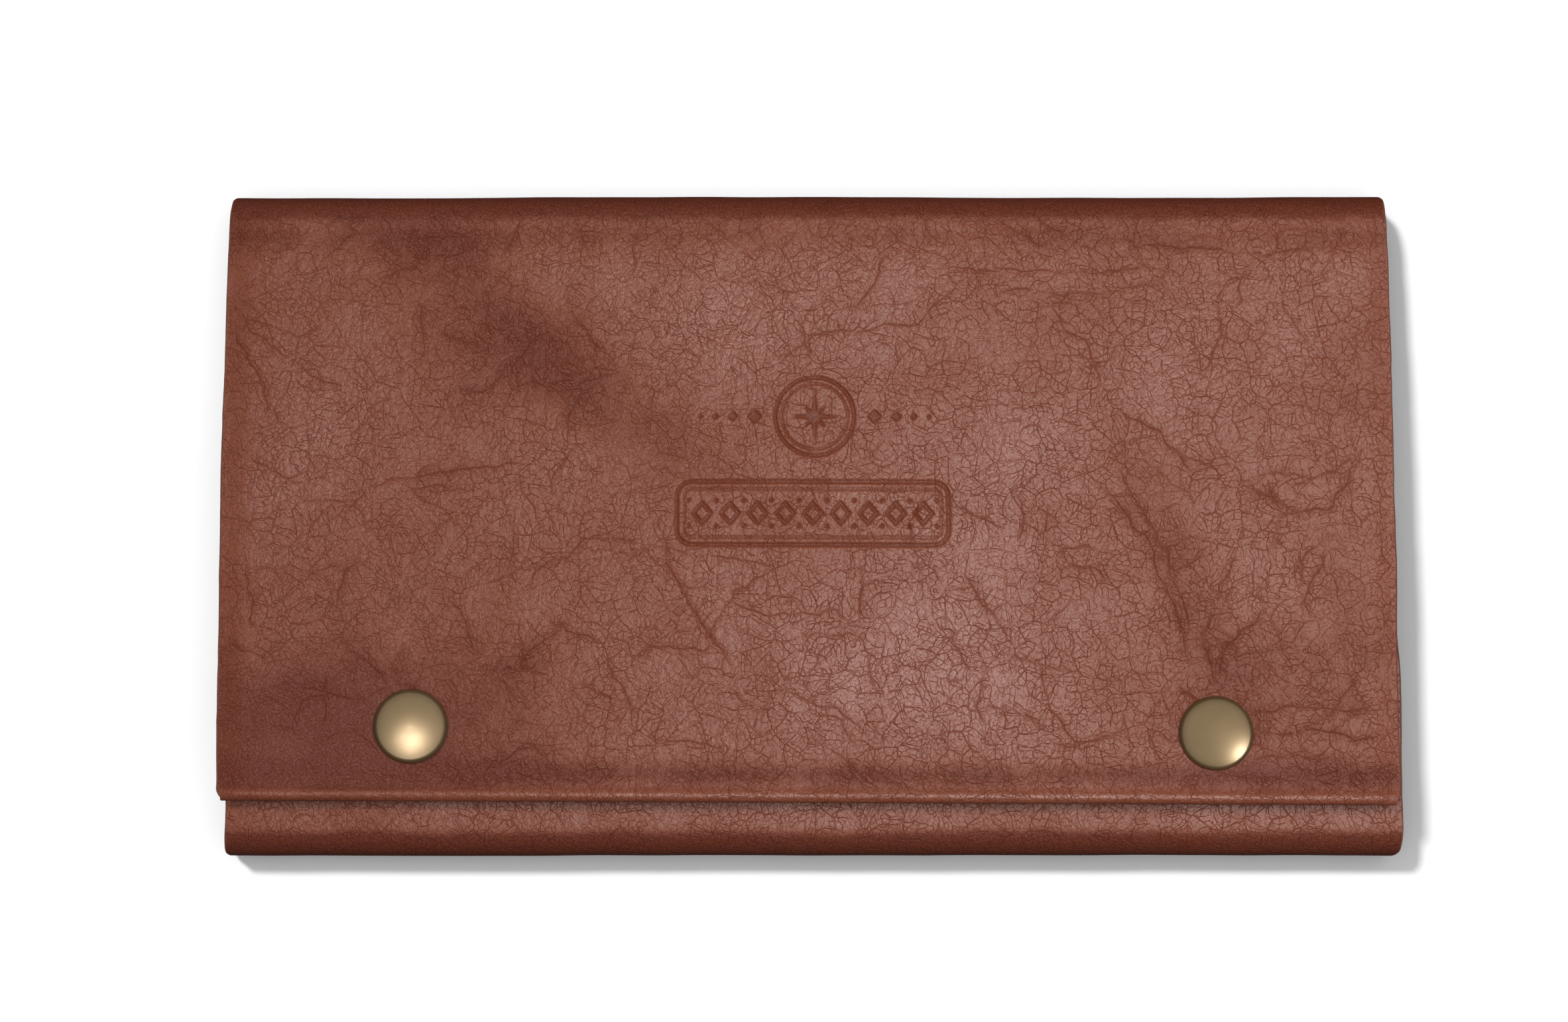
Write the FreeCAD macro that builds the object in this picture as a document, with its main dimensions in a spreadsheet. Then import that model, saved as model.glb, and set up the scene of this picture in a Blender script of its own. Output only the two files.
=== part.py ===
"""Tri-fold leather passport holder: a parametric FreeCAD document, written out as one STEP file per piece.

The holder lies on its back, closed. X runs along its width, Y from the bottom fold (-) to the top fold (+) and Z
up through its layers. The origin is the middle of the face that it rests on. One hide wraps the back, rolls over
the top as a flap and turns up over the bottom as a short front panel. Two snaps hold the flap to that panel.
"""

import math
import os

import FreeCAD
import Part
import Sketcher
from FreeCAD import Placement, Rotation, Vector

# The driving dimensions, in millimetres and degrees.
DIMENSIONS = {
    # the hide and its lining
    "body_width": 238.0,
    "body_height": 135.0,
    "fold_radius": 6.1,
    "cover_thick": 1.3,
    "lining_thick": 0.5,
    "lining_inset": 1.2,
    "front_length": 58.0,
    "flap_length": 118.4,
    "flap_slope": 2.8,
    "hem_length": 6.5,
    "hem_thick": 0.9,
    # the gusseted passport pocket and the slip pocket on it
    "pocket_width": 224.0,
    "pocket_height": 95.0,
    "pocket_depth": 4.4,
    "pocket_leather": 0.9,
    "pocket_margin": 2.0,
    "gusset_thick": 1.0,
    "slip_height": 73.0,
    "slip_leather": 0.7,
    "notch_radius": 11.0,
    # the three card slots on the front panel
    "card_width": 94.0,
    "card_height": 49.0,
    "card_step": 11.0,
    "card_margin": 2.5,
    "card_leather": 0.7,
    # the seams
    "seam_inset": 2.5,
    "stitch_pitch": 3.2,
    "stitch_length": 2.3,
    "stitch_radius": 0.2,
    # the snaps
    "snap_spacing": 161.7,
    "snap_offset": 0.9,
    "snap_run": 103.8,
    "snap_skew": 0.7,
    "cap_radius": 7.5,
    "cap_height": 2.3,
    "cap_sheet": 0.4,
    "cap_shoulder": 1.2,
    "crown_angle": 17.0,
    "rim_opening": 5.9,
    "post_radius": 2.0,
    "post_bore": 1.3,
    "flare_radius": 2.6,
    "socket_flange": 5.7,
    "socket_radius": 4.9,
    "socket_height": 2.6,
    "socket_wall": 0.5,
    "cavity_radius": 3.6,
    "groove_radius": 3.8,
    "spring_radius": 3.55,
    "spring_wire": 0.22,
    "stud_flange": 5.2,
    "stud_height": 2.0,
    "ball_foot": 2.6,
    "ball_round": 0.75,
    "eyelet_flange": 4.8,
    "eyelet_radius": 1.7,
    "eyelet_bore": 1.3,
    "eyelet_head": 2.1,
    "eyelet_sheet": 0.4,
    "hole_clearance": 0.05,
}

SHEET = "Dims"
SEAM = 45.0  # each fold is cut 45 degrees from its two ends, where the leather hinges
MIDDLE = 90.0
HALF_TURN = 180.0
LEFT, RIGHT = -1, 1


class Size:
    """A number with the sheet expression that gives it, so that a constraint can be bound to the expression."""

    def __init__(self, value, text):
        self.value = float(value)
        self.text = text

    def __add__(self, other):
        other = size(other)
        return Size(self.value + other.value, f"({self.text} + {other.text})")

    def __sub__(self, other):
        other = size(other)
        return Size(self.value - other.value, f"({self.text} - {other.text})")

    def __mul__(self, other):
        other = size(other)
        return Size(self.value * other.value, f"({self.text} * {other.text})")

    def __truediv__(self, other):
        other = size(other)
        return Size(self.value / other.value, f"({self.text} / {other.text})")

    def __neg__(self):
        return Size(-self.value, f"(0 - {self.text})")


def size(number):
    """A plain number as a Size; a Size as it is."""
    return number if isinstance(number, Size) else Size(number, repr(float(number)))


def dim(alias):
    """One driving dimension of the sheet."""
    return Size(DIMENSIONS[alias], f"{SHEET}.{alias}")


def sine(degrees):
    degrees = size(degrees)
    return Size(math.sin(math.radians(degrees.value)), f"sin({degrees.text} * 1 deg)")


def cosine(degrees):
    degrees = size(degrees)
    return Size(math.cos(math.radians(degrees.value)), f"cos({degrees.text} * 1 deg)")


def make_sheet(doc):
    """The spreadsheet that holds every driving dimension under its alias."""
    sheet = doc.addObject("Spreadsheet::Sheet", SHEET)
    for row, (alias, value) in enumerate(DIMENSIONS.items(), start=1):
        sheet.set(f"A{row}", alias)
        sheet.set(f"B{row}", str(value))
        sheet.setAlias(f"B{row}", alias)
    doc.recompute()


# --- Features of a body -------------------------------------------------------------------------------------------


def new_body(doc, name):
    body = doc.addObject("PartDesign::Body", name)
    body.Label = name
    return body


def new_sketch(body, role, name, offset=0.0):
    """A sketch on one of the body's origin planes, moved along the plane's normal by offset."""
    sketch = body.newObject("Sketcher::SketchObject", name)
    plane = next(f for f in body.Origin.OriginFeatures if f.Role == role)
    sketch.AttachmentSupport = [(plane, "")]
    sketch.MapMode = "FlatFace"
    sketch.setExpression("AttachmentOffset.Base.z", size(offset).text)
    return sketch


def pin_point(sketch, element, end, u, v):
    """Fixes one end of a sketch element at (u, v) from the sketch's origin."""
    for kind, place in (("DistanceX", u), ("DistanceY", v)):
        row = sketch.addConstraint(Sketcher.Constraint(kind, -1, 1, element, end, place.value))
        sketch.setExpression(f"Constraints[{row}]", place.text)


def arc_between(start, end, radius, side):
    """An arc of under half a turn whose centre is on the left (side 1) or right (side -1) of start to end."""
    a, b = Vector(start[0].value, start[1].value), Vector(end[0].value, end[1].value)
    chord = b - a
    left = Vector(-chord.y, chord.x).normalize()
    rise = math.sqrt(radius.value**2 - (chord.Length / 2) ** 2)
    centre = (a + b) * 0.5 + left * (side * rise)
    middle = centre - left * (side * radius.value)
    return Part.Arc(a, middle, b)


def draw_outline(sketch, points, arcs=None):
    """A closed outline through points. arcs maps the number of an edge to its (radius, side)."""
    arcs = arcs or {}
    points = [(size(u), size(v)) for u, v in points]
    count = len(points)
    ends = []
    for i, start in enumerate(points):
        end = points[(i + 1) % count]
        if i not in arcs:
            a, b = Vector(start[0].value, start[1].value), Vector(end[0].value, end[1].value)
            sketch.addGeometry(Part.LineSegment(a, b))
            ends.append((1, 2))
            continue
        radius, side = arcs[i]
        sketch.addGeometry(arc_between(start, end, size(radius), side))
        # the sketcher stores an arc anticlockwise, so one whose centre is on the right runs backwards
        ends.append((1, 2) if side > 0 else (2, 1))
    for i in range(count):
        after = (i + 1) % count
        sketch.addConstraint(Sketcher.Constraint("Coincident", i, ends[i][1], after, ends[after][0]))
    for i, (u, v) in enumerate(points):
        pin_point(sketch, i, ends[i][0], u, v)
    for i, (radius, _) in arcs.items():
        radius = size(radius)
        row = sketch.addConstraint(Sketcher.Constraint("Radius", i, radius.value))
        sketch.setExpression(f"Constraints[{row}]", radius.text)


def pad(body, sketch, length, symmetric=False):
    feature = body.newObject("PartDesign::Pad", f"{body.Label}_pad")
    feature.Profile = sketch
    feature.SideType = "Symmetric" if symmetric else "One side"
    feature.setExpression("Length", size(length).text)
    sketch.Visibility = False
    return feature


def spin(body, sketch):
    """Revolves a sketch of (radius, height) points a full turn about the body's Z axis."""
    feature = body.newObject("PartDesign::Revolution", f"{body.Label}_spin")
    feature.Profile = sketch
    feature.ReferenceAxis = (sketch, ["V_Axis"])
    feature.Angle = 360.0
    return feature


def punch(body, places, radius):
    """Round holes right through the body along Z, at (x, y) places."""
    sketch = new_sketch(body, "XY_Plane", f"{body.Label}_holes")
    for x, y in places:
        row = sketch.addGeometry(Part.Circle(Vector(x.value, y.value), Vector(0, 0, 1), radius.value))
        pin_point(sketch, row, 3, x, y)
        bound = sketch.addConstraint(Sketcher.Constraint("Radius", row, radius.value))
        sketch.setExpression(f"Constraints[{bound}]", radius.text)
    feature = body.newObject("PartDesign::Pocket", f"{body.Label}_punch")
    feature.Profile = sketch
    feature.SideType = "Symmetric"
    feature.Type = "ThroughAll"
    return feature


def place(body, x=0.0, y=0.0, z=0.0, turn=0.0):
    """Moves a body to (x, y, z) after turning it about X by turn degrees."""
    body.Placement = Placement(
        Vector(size(x).value, size(y).value, size(z).value), Rotation(Vector(1, 0, 0), size(turn).value)
    )
    for axis, where in (("x", x), ("y", y), ("z", z)):
        body.setExpression(f"Placement.Base.{axis}", size(where).text)
    if size(turn).value:
        body.setExpression("Placement.Rotation.Angle", size(turn).text)


# --- Leather, as sections in the YZ plane drawn out to their width ----------------------------------------------


def polar(centre, radius, degrees):
    """The point at an angle round a fold, from straight down and towards +Y."""
    return centre[0] + radius * sine(degrees), centre[1] - radius * cosine(degrees)


def layer_radii(layer):
    """Outer and inner fold radius of the cover (layer 0) or of the lining inside it (layer 1)."""
    outer = dim("fold_radius")
    skin = outer - dim("cover_thick")
    return (outer, skin) if layer == 0 else (skin, skin - dim("lining_thick"))


def layer_width(layer):
    return dim("body_width") if layer == 0 else dim("body_width") - dim("lining_inset") * 2


def top_centre():
    """The axis that the top fold is rolled round."""
    return dim("body_height") / 2 - dim("fold_radius"), dim("fold_radius")


def bottom_centre():
    return dim("fold_radius") - dim("body_height") / 2, dim("fold_radius")


def section_body(doc, name, points, arcs, width):
    body = new_body(doc, name)
    sketch = new_sketch(body, "YZ_Plane", f"{name}_section")
    draw_outline(sketch, points, arcs)
    pad(body, sketch, width, symmetric=True)
    return body


def back_panel(doc, name, layer):
    """The flat back, with the first 45 degrees of the fold at each end."""
    outer, inner = layer_radii(layer)
    top, bottom = top_centre(), bottom_centre()
    points = [
        polar(bottom, outer, -SEAM),
        polar(bottom, outer, 0),
        polar(top, outer, 0),
        polar(top, outer, SEAM),
        polar(top, inner, SEAM),
        polar(top, inner, 0),
        polar(bottom, inner, 0),
        polar(bottom, inner, -SEAM),
    ]
    arcs = {0: (outer, 1), 2: (outer, 1), 4: (inner, -1), 6: (inner, -1)}
    return section_body(doc, name, points, arcs, layer_width(layer))


def fold_strip(doc, name, layer, side):
    """The middle 90 degrees of the top fold (side 1) or of the bottom fold (side -1)."""
    outer, inner = layer_radii(layer)
    centre = top_centre() if side > 0 else bottom_centre()
    first, last = (SEAM, HALF_TURN - SEAM) if side > 0 else (SEAM - HALF_TURN, -SEAM)
    points = [
        polar(centre, outer, first),
        polar(centre, outer, last),
        polar(centre, inner, last),
        polar(centre, inner, first),
    ]
    return section_body(doc, name, points, {0: (outer, 1), 2: (inner, -1)}, layer_width(layer))


def front_panel(doc, name, layer):
    """The last 45 degrees of the bottom fold and the short flat panel that turns up over the front."""
    outer, inner = layer_radii(layer)
    centre = bottom_centre()
    edge = centre[0] + dim("front_length")
    points = [
        polar(centre, outer, -HALF_TURN),
        polar(centre, outer, SEAM - HALF_TURN),
        polar(centre, inner, SEAM - HALF_TURN),
        polar(centre, inner, -HALF_TURN),
        (edge, centre[1] + inner),
        (edge, centre[1] + outer),
    ]
    body = section_body(doc, name, points, {0: (outer, 1), 2: (inner, -1)}, layer_width(layer))
    holes = [(stud_x(side), stud_y(side)) for side in (LEFT, RIGHT)]
    punch(body, holes, dim("eyelet_radius") + dim("hole_clearance"))
    return body


def on_flap(run, height):
    """The (y, z) place of a point on the flap: its run down the flap and its height over the fold's axis."""
    slope, centre = dim("flap_slope"), top_centre()
    y = centre[0] + height * sine(slope) - run * cosine(slope)
    z = centre[1] + height * cosine(slope) + run * sine(slope)
    return y, z


def lay_on_flap(body):
    """Moves a body drawn flat about the top fold's axis to where the sloping flap lies."""
    centre = top_centre()
    place(body, 0.0, centre[0], centre[1], -dim("flap_slope"))


def flap_cover(doc, name):
    """The last part of the top fold and the flap, whose free end is turned under as a hem. Drawn unsloped."""
    outer, inner = layer_radii(0)
    start = dim("flap_slope") + SEAM - MIDDLE
    hem = outer - dim("cover_thick") - dim("hem_thick")
    nose = (dim("cover_thick") + dim("hem_thick")) / 2
    axis = (size(0.0), size(0.0))
    shoulder = -(dim("flap_length") - nose)
    points = [
        polar(axis, outer, start + MIDDLE * 2),
        (size(0.0), outer),
        (shoulder, outer),
        (shoulder, hem),
        (shoulder + dim("hem_length"), hem),
        (shoulder + dim("hem_length"), inner),
        (size(0.0), inner),
        polar(axis, inner, start + MIDDLE * 2),
    ]
    # the two ends of the nose are a whole half turn apart, so it is drawn as two quarters
    points.insert(3, (shoulder - nose, outer - nose))
    body = section_body(
        doc, name, points, {0: (outer, 1), 2: (nose, 1), 3: (nose, 1), 7: (inner, -1)}, layer_width(0)
    )
    punch_flap(body)
    lay_on_flap(body)
    return body


def flap_lining(doc, name):
    """The lining under the flap, from the top fold to the hem. Drawn unsloped."""
    outer, inner = layer_radii(1)
    start = dim("flap_slope") + SEAM - MIDDLE
    axis = (size(0.0), size(0.0))
    end = -(dim("flap_length") - dim("hem_length") - (dim("cover_thick") + dim("hem_thick")) / 2)
    points = [
        polar(axis, outer, start + MIDDLE * 2),
        (size(0.0), outer),
        (end, outer),
        (end, inner),
        (size(0.0), inner),
        polar(axis, inner, start + MIDDLE * 2),
    ]
    body = section_body(doc, name, points, {0: (outer, 1), 4: (inner, -1)}, layer_width(1))
    punch_flap(body)
    lay_on_flap(body)
    return body


def punch_flap(body):
    holes = [(stud_x(side), -snap_run(side)) for side in (LEFT, RIGHT)]
    punch(body, holes, dim("post_radius") + dim("hole_clearance"))


# --- Pockets, as flat panels on the levels of the stack ---------------------------------------------------------


def pocket_floor():
    """The height of the lining's inner face, where the passport lies."""
    return dim("cover_thick") + dim("lining_thick")


def pocket_face():
    """The height of the outer face of the passport pocket's panel."""
    return pocket_floor() + dim("pocket_depth") + dim("pocket_leather")


def pocket_bottom():
    return bottom_centre()[0] + dim("pocket_margin")


def flat_panel(doc, name, half_width, low, high, level, thick, notch=None, notch_up=True):
    """A level sheet of leather, with a half-round thumb notch in its mouth if notch gives a radius."""
    body = new_body(doc, name)
    sketch = new_sketch(body, "XY_Plane", f"{name}_outline", level)
    left = -half_width
    if notch is None:
        draw_outline(sketch, [(left, low), (half_width, low), (half_width, high), (left, high)])
    elif notch_up:
        points = [(left, low), (half_width, low), (half_width, high), (notch, high)]
        points += [(size(0.0), high - notch), (-notch, high), (left, high)]
        draw_outline(sketch, points, {3: (notch, -1), 4: (notch, -1)})
    else:
        points = [(left, low), (-notch, low), (size(0.0), low + notch), (notch, low)]
        points += [(half_width, low), (half_width, high), (left, high)]
        draw_outline(sketch, points, {1: (notch, -1), 2: (notch, -1)})
    pad(body, sketch, thick)
    return body


def passport_pocket(doc):
    """The pocket's panel and the three gusset walls that hold it off the lining."""
    half, low = dim("pocket_width") / 2, pocket_bottom()
    high, floor = pocket_bottom() + dim("pocket_height"), pocket_floor()
    panel_level = floor + dim("pocket_depth")
    panel = flat_panel(
        doc,
        "passport_pocket_panel",
        half,
        low,
        high,
        panel_level,
        dim("pocket_leather"),
        notch=dim("notch_radius"),
    )
    wall = dim("gusset_thick")
    made = [panel]
    for name, side in (("pocket_gusset_left", LEFT), ("pocket_gusset_right", RIGHT)):
        body = flat_panel(doc, name, wall / 2, low + wall, high, floor, dim("pocket_depth"))
        place(body, (half - wall / 2) * side)
        made.append(body)
    made.append(flat_panel(doc, "pocket_gusset_bottom", half, low, low + wall, floor, dim("pocket_depth")))
    return made


def slip_pocket(doc):
    """The flat slip pocket for tickets, sewn over the lower part of the passport pocket."""
    low = pocket_bottom()
    return flat_panel(
        doc,
        "ticket_pocket_panel",
        dim("pocket_width") / 2,
        low,
        low + dim("slip_height"),
        pocket_face(),
        dim("slip_leather"),
        notch=dim("notch_radius"),
    )


def card_face(tier):
    """The height of the lower face of a card slot's leather. Tier 0 lies on the front panel's lining."""
    lining = dim("fold_radius") * 2 - dim("cover_thick") - dim("lining_thick")
    return lining - dim("card_leather") * (tier + 1)


def card_edges(tier):
    """The mouth of a card slot, towards the fold, and its sewn edge, towards the front panel's free edge."""
    sewn = bottom_centre()[0] + dim("front_length") - dim("card_margin")
    return sewn - dim("card_height") + dim("card_step") * tier, sewn


def card_slots(doc):
    made = []
    for tier, name in enumerate(("card_slot_rear", "card_slot_middle", "card_slot_front")):
        mouth, sewn = card_edges(tier)
        half = dim("card_width") / 2
        made.append(flat_panel(doc, name, half, mouth, sewn, card_face(tier), dim("card_leather")))
    return made


# --- Seams ------------------------------------------------------------------------------------------------------


def stitch_row(start, end):
    """Stitches on the line from start to end, each a short length of thread that rests on the leather."""
    pitch, length = DIMENSIONS["stitch_pitch"], DIMENSIONS["stitch_length"]
    line = end - start
    count = int(line.Length // pitch)
    lead = (line.Length - (count - 1) * pitch - length) / 2
    direction = Vector(line).normalize()
    made = []
    for i in range(count):
        foot = start + direction * (lead + i * pitch)
        made.append(Part.makeCylinder(DIMENSIONS["stitch_radius"], length, foot, direction))
    return made


def thread_node(doc, name, rows):
    feature = doc.addObject("Part::Feature", name)
    feature.Label = name
    feature.Shape = Part.makeCompound([stitch for row in rows for stitch in row])
    return feature


def pocket_stitching(doc):
    """The seam round the sides and bottom of the passport pocket, which also holds the slip pocket."""
    inset, radius = DIMENSIONS["seam_inset"], DIMENSIONS["stitch_radius"]
    x = DIMENSIONS["pocket_width"] / 2 - inset
    low = pocket_bottom().value + inset
    slip_top = pocket_bottom().value + DIMENSIONS["slip_height"]
    high = pocket_bottom().value + DIMENSIONS["pocket_height"]
    on_panel = pocket_face().value + radius
    on_slip = on_panel + DIMENSIONS["slip_leather"]
    corner = DIMENSIONS["stitch_pitch"] / 2
    rows = [stitch_row(Vector(-x + corner, low, on_slip), Vector(x - corner, low, on_slip))]
    for side in (LEFT, RIGHT):
        rows.append(stitch_row(Vector(side * x, low, on_slip), Vector(side * x, slip_top, on_slip)))
        rows.append(stitch_row(Vector(side * x, slip_top + 1.0, on_panel), Vector(side * x, high, on_panel)))
    return thread_node(doc, "pocket_stitching", rows)


def card_stitching(doc):
    """The seam round the card slots, under the front panel, following each tier's own height."""
    inset, radius = DIMENSIONS["seam_inset"], DIMENSIONS["stitch_radius"]
    x = DIMENSIONS["card_width"] / 2 - inset
    tiers = [(card_edges(tier)[0].value, card_face(tier).value - radius) for tier in range(3)]
    sewn = card_edges(0)[1].value - inset
    corner = DIMENSIONS["stitch_pitch"] / 2
    front_level = tiers[-1][1]
    rows = [stitch_row(Vector(-x + corner, sewn, front_level), Vector(x - corner, sewn, front_level))]
    for side in (LEFT, RIGHT):
        for tier, (mouth, level) in enumerate(tiers):
            end = tiers[tier + 1][0] - 1.0 if tier + 1 < len(tiers) else sewn
            rows.append(stitch_row(Vector(side * x, mouth, level), Vector(side * x, end, level)))
    return thread_node(doc, "card_stitching", rows)


# --- Snaps ------------------------------------------------------------------------------------------------------


def stud_x(side):
    return dim("snap_spacing") / 2 * side + dim("snap_offset")


def snap_run(side):
    """How far down the flap a snap is. The left one sits a little higher than the right one."""
    return dim("snap_run") + dim("snap_skew") * side


def stud_y(side):
    """The studs stand under the middle of the tilted sockets' height."""
    inner = layer_radii(1)[1]
    return on_flap(snap_run(side), inner - dim("socket_height") / 2)[0]


def spun_body(doc, name, points, arcs):
    body = new_body(doc, name)
    sketch = new_sketch(body, "XZ_Plane", f"{name}_profile")
    draw_outline(sketch, points, arcs)
    spin(body, sketch)
    return body


def place_on_flap(body, side, height):
    y, z = on_flap(snap_run(side), height)
    place(body, stud_x(side), y, z, -dim("flap_slope"))


def cap(doc, name, side):
    """The domed sheet-metal cap, with its rim curled in under the edge."""
    radius, height, sheet = dim("cap_radius"), dim("cap_height"), dim("cap_sheet")
    shoulder, angle, opening = dim("cap_shoulder"), dim("crown_angle"), dim("rim_opening")
    crown = (radius - shoulder) / sine(angle) + shoulder
    shoulder_r = crown * sine(angle)
    shoulder_z = height - crown + crown * cosine(angle)
    widest_z = shoulder_z - shoulder * cosine(angle)
    inner_crown = crown - sheet
    points = [
        (size(0.0), height),
        (shoulder_r, shoulder_z),
        (radius, widest_z),
        (radius - widest_z, size(0.0)),
        (opening, size(0.0)),
        (opening, sheet),
        (inner_crown * sine(angle), sheet),
        (inner_crown * sine(angle), height - crown + inner_crown * cosine(angle)),
        (size(0.0), height - sheet),
    ]
    arcs = {0: (crown, -1), 1: (shoulder, -1), 2: (widest_z, -1), 7: (inner_crown, 1)}
    body = spun_body(doc, name, points, arcs)
    place_on_flap(body, side, dim("fold_radius"))
    return body


def post(doc, name, side):
    """The disc clamped in the cap's rim and the hollow post that is flared out inside the socket."""
    disc, sheet = dim("rim_opening") - dim("hole_clearance"), dim("cap_sheet")
    leather = dim("cover_thick") + dim("lining_thick")
    wall_end = -(leather + dim("socket_wall"))
    flare_end = wall_end - dim("spring_wire") * 1.5
    radius, bore, flare = dim("post_radius"), dim("post_bore"), dim("flare_radius")
    points = [
        (bore, sheet),
        (bore, flare_end),
        (flare, flare_end),
        (flare, wall_end),
        (radius, wall_end),
        (radius, size(0.0)),
        (disc, size(0.0)),
        (disc, sheet),
    ]
    body = spun_body(doc, name, points, {})
    place_on_flap(body, side, dim("fold_radius"))
    return body


def socket(doc, name, side):
    """The female half of the snap, drawn from the lining down. A groove in its bore holds the ring spring."""
    flange, outer, height = dim("socket_flange"), dim("socket_radius"), dim("socket_height")
    wall, bore, groove = dim("socket_wall"), dim("cavity_radius"), dim("groove_radius")
    wire = dim("spring_wire")
    hole = dim("post_radius") + dim("hole_clearance")
    spring = spring_level()
    lip = wire
    points = [
        (hole, size(0.0)),
        (hole, -wall),
        (bore, -wall),
        (bore, spring + wire),
        (groove, spring + wire),
        (groove, spring - wire),
        (bore, spring - wire),
        (bore, -height),
        (outer - lip, -height),
        (outer, lip - height),
        (outer, -wall),
        (flange, -(wall / 2)),
        (flange, size(0.0)),
    ]
    body = spun_body(doc, name, points, {8: (lip, 1)})
    place_on_flap(body, side, layer_radii(1)[1])
    return body


def spring_level():
    """The ring spring's height in the socket, below the lining."""
    return -(dim("socket_height") * 0.65)


def spring(doc, name, side):
    """The ring of wire that grips the stud's ball."""
    ring = doc.addObject("Part::Torus", name)
    ring.Label = name
    ring.setExpression("Radius1", dim("spring_radius").text)
    ring.setExpression("Radius2", (dim("spring_wire") - dim("hole_clearance") / 2).text)
    place_on_flap(ring, side, layer_radii(1)[1] + spring_level())
    return ring


def stud(doc, name, side):
    """The male half of the snap, standing on the front panel."""
    bore = dim("eyelet_radius") + dim("hole_clearance") / 2
    flange, sheet, height = dim("stud_flange"), dim("eyelet_sheet"), dim("stud_height")
    foot, top = dim("ball_foot"), dim("stud_height") - dim("hole_clearance")
    points = [
        (bore, size(0.0)),
        (flange, size(0.0)),
        (flange, sheet / 2),
        (flange - sheet, sheet),
        (foot, sheet),
        (foot - sheet / 4, height / 2),
        (foot - sheet / 2, top),
        (bore, top),
    ]
    body = spun_body(doc, name, points, {5: (dim("ball_round"), 1)})
    place(body, stud_x(side), stud_y(side), dim("fold_radius") * 2)
    return body


def eyelet(doc, name, side):
    """The rivet that holds the stud: a flange against the lining and a barrel rolled over inside the ball."""
    leather = dim("cover_thick") + dim("lining_thick")
    sheet, radius, bore = dim("eyelet_sheet"), dim("eyelet_radius"), dim("eyelet_bore")
    top, head = dim("stud_height"), dim("eyelet_head")
    points = [
        (bore, -(leather + sheet)),
        (dim("eyelet_flange"), -(leather + sheet)),
        (dim("eyelet_flange"), -leather),
        (radius, -leather),
        (radius, top - dim("hole_clearance")),
        (head, top - dim("hole_clearance")),
        (head, top + sheet / 4),
        (bore, top + sheet / 4),
    ]
    body = spun_body(doc, name, points, {})
    place(body, stud_x(side), stud_y(side), dim("fold_radius") * 2)
    return body


def snaps(doc):
    makers = {
        "snap_cap": cap,
        "snap_post": post,
        "snap_socket": socket,
        "snap_spring": spring,
        "snap_stud": stud,
        "snap_eyelet": eyelet,
    }
    made = []
    for label, side in (("left", LEFT), ("right", RIGHT)):
        made += [make(doc, f"{name}_{label}", side) for name, make in makers.items()]
    return made


# --- The whole holder -------------------------------------------------------------------------------------------


def build(doc):
    pieces = [
        back_panel(doc, "back_cover", 0),
        back_panel(doc, "back_lining", 1),
        fold_strip(doc, "top_fold_cover", 0, 1),
        fold_strip(doc, "top_fold_lining", 1, 1),
        fold_strip(doc, "bottom_fold_cover", 0, -1),
        fold_strip(doc, "bottom_fold_lining", 1, -1),
        flap_cover(doc, "flap_cover"),
        flap_lining(doc, "flap_lining"),
        front_panel(doc, "front_cover", 0),
        front_panel(doc, "front_lining", 1),
        slip_pocket(doc),
        pocket_stitching(doc),
        card_stitching(doc),
    ]
    return pieces + passport_pocket(doc) + card_slots(doc) + snaps(doc)


def check(doc, pieces):
    """Stops before anything is written if an object failed or a piece has no sound shape."""
    for item in doc.Objects:
        if "Invalid" in item.State or "Error" in item.State:
            raise RuntimeError(f"{item.Label} failed: {item.State}")
    for piece in pieces:
        if piece.Shape.isNull() or not piece.Shape.isValid() or piece.Shape.Volume <= 0:
            raise RuntimeError(f"{piece.Label} has no sound shape")


def main():
    doc = FreeCAD.newDocument("PassportHolder")
    make_sheet(doc)
    pieces = build(doc)
    doc.recompute()
    check(doc, pieces)
    os.makedirs("parts", exist_ok=True)
    for piece in pieces:
        piece.Shape.exportStep(f"parts/{piece.Label}.step")
        print(f"{piece.Label}: {piece.Shape.Volume:.1f} mm3, {len(piece.Shape.Solids)} solids")


main()
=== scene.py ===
"""The looks of the tri-fold leather passport holder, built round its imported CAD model.

One hide wraps the back, rolls over the top as the flap and turns up over the bottom as the front
panel. Lengths are in millimetres until a mesh is made. A place on the hide is (x, s): s is the
distance along its outer face from the middle of the back, positive over the top fold to the flap
and negative round the bottom fold to the front panel.
"""

import math

import bpy
import numpy as np
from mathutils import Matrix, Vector


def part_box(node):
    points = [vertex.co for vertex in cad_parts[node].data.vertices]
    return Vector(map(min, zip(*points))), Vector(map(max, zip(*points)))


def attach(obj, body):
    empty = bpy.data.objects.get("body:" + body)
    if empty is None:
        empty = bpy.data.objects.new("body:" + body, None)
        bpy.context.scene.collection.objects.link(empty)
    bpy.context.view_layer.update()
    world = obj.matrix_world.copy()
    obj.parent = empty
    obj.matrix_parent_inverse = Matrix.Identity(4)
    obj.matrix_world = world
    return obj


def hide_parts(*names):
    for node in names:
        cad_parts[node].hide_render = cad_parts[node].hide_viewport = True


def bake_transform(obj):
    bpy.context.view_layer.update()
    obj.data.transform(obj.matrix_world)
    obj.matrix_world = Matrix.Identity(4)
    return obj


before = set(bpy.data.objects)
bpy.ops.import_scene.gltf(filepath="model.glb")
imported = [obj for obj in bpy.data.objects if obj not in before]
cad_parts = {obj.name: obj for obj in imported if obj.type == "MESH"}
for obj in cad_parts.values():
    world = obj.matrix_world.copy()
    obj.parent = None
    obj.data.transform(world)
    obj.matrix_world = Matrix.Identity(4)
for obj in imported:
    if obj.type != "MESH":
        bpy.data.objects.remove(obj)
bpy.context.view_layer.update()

MM = 0.001


def low(node):
    return np.array(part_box(node)[0]) / MM


def high(node):
    return np.array(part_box(node)[1]) / MM


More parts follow.
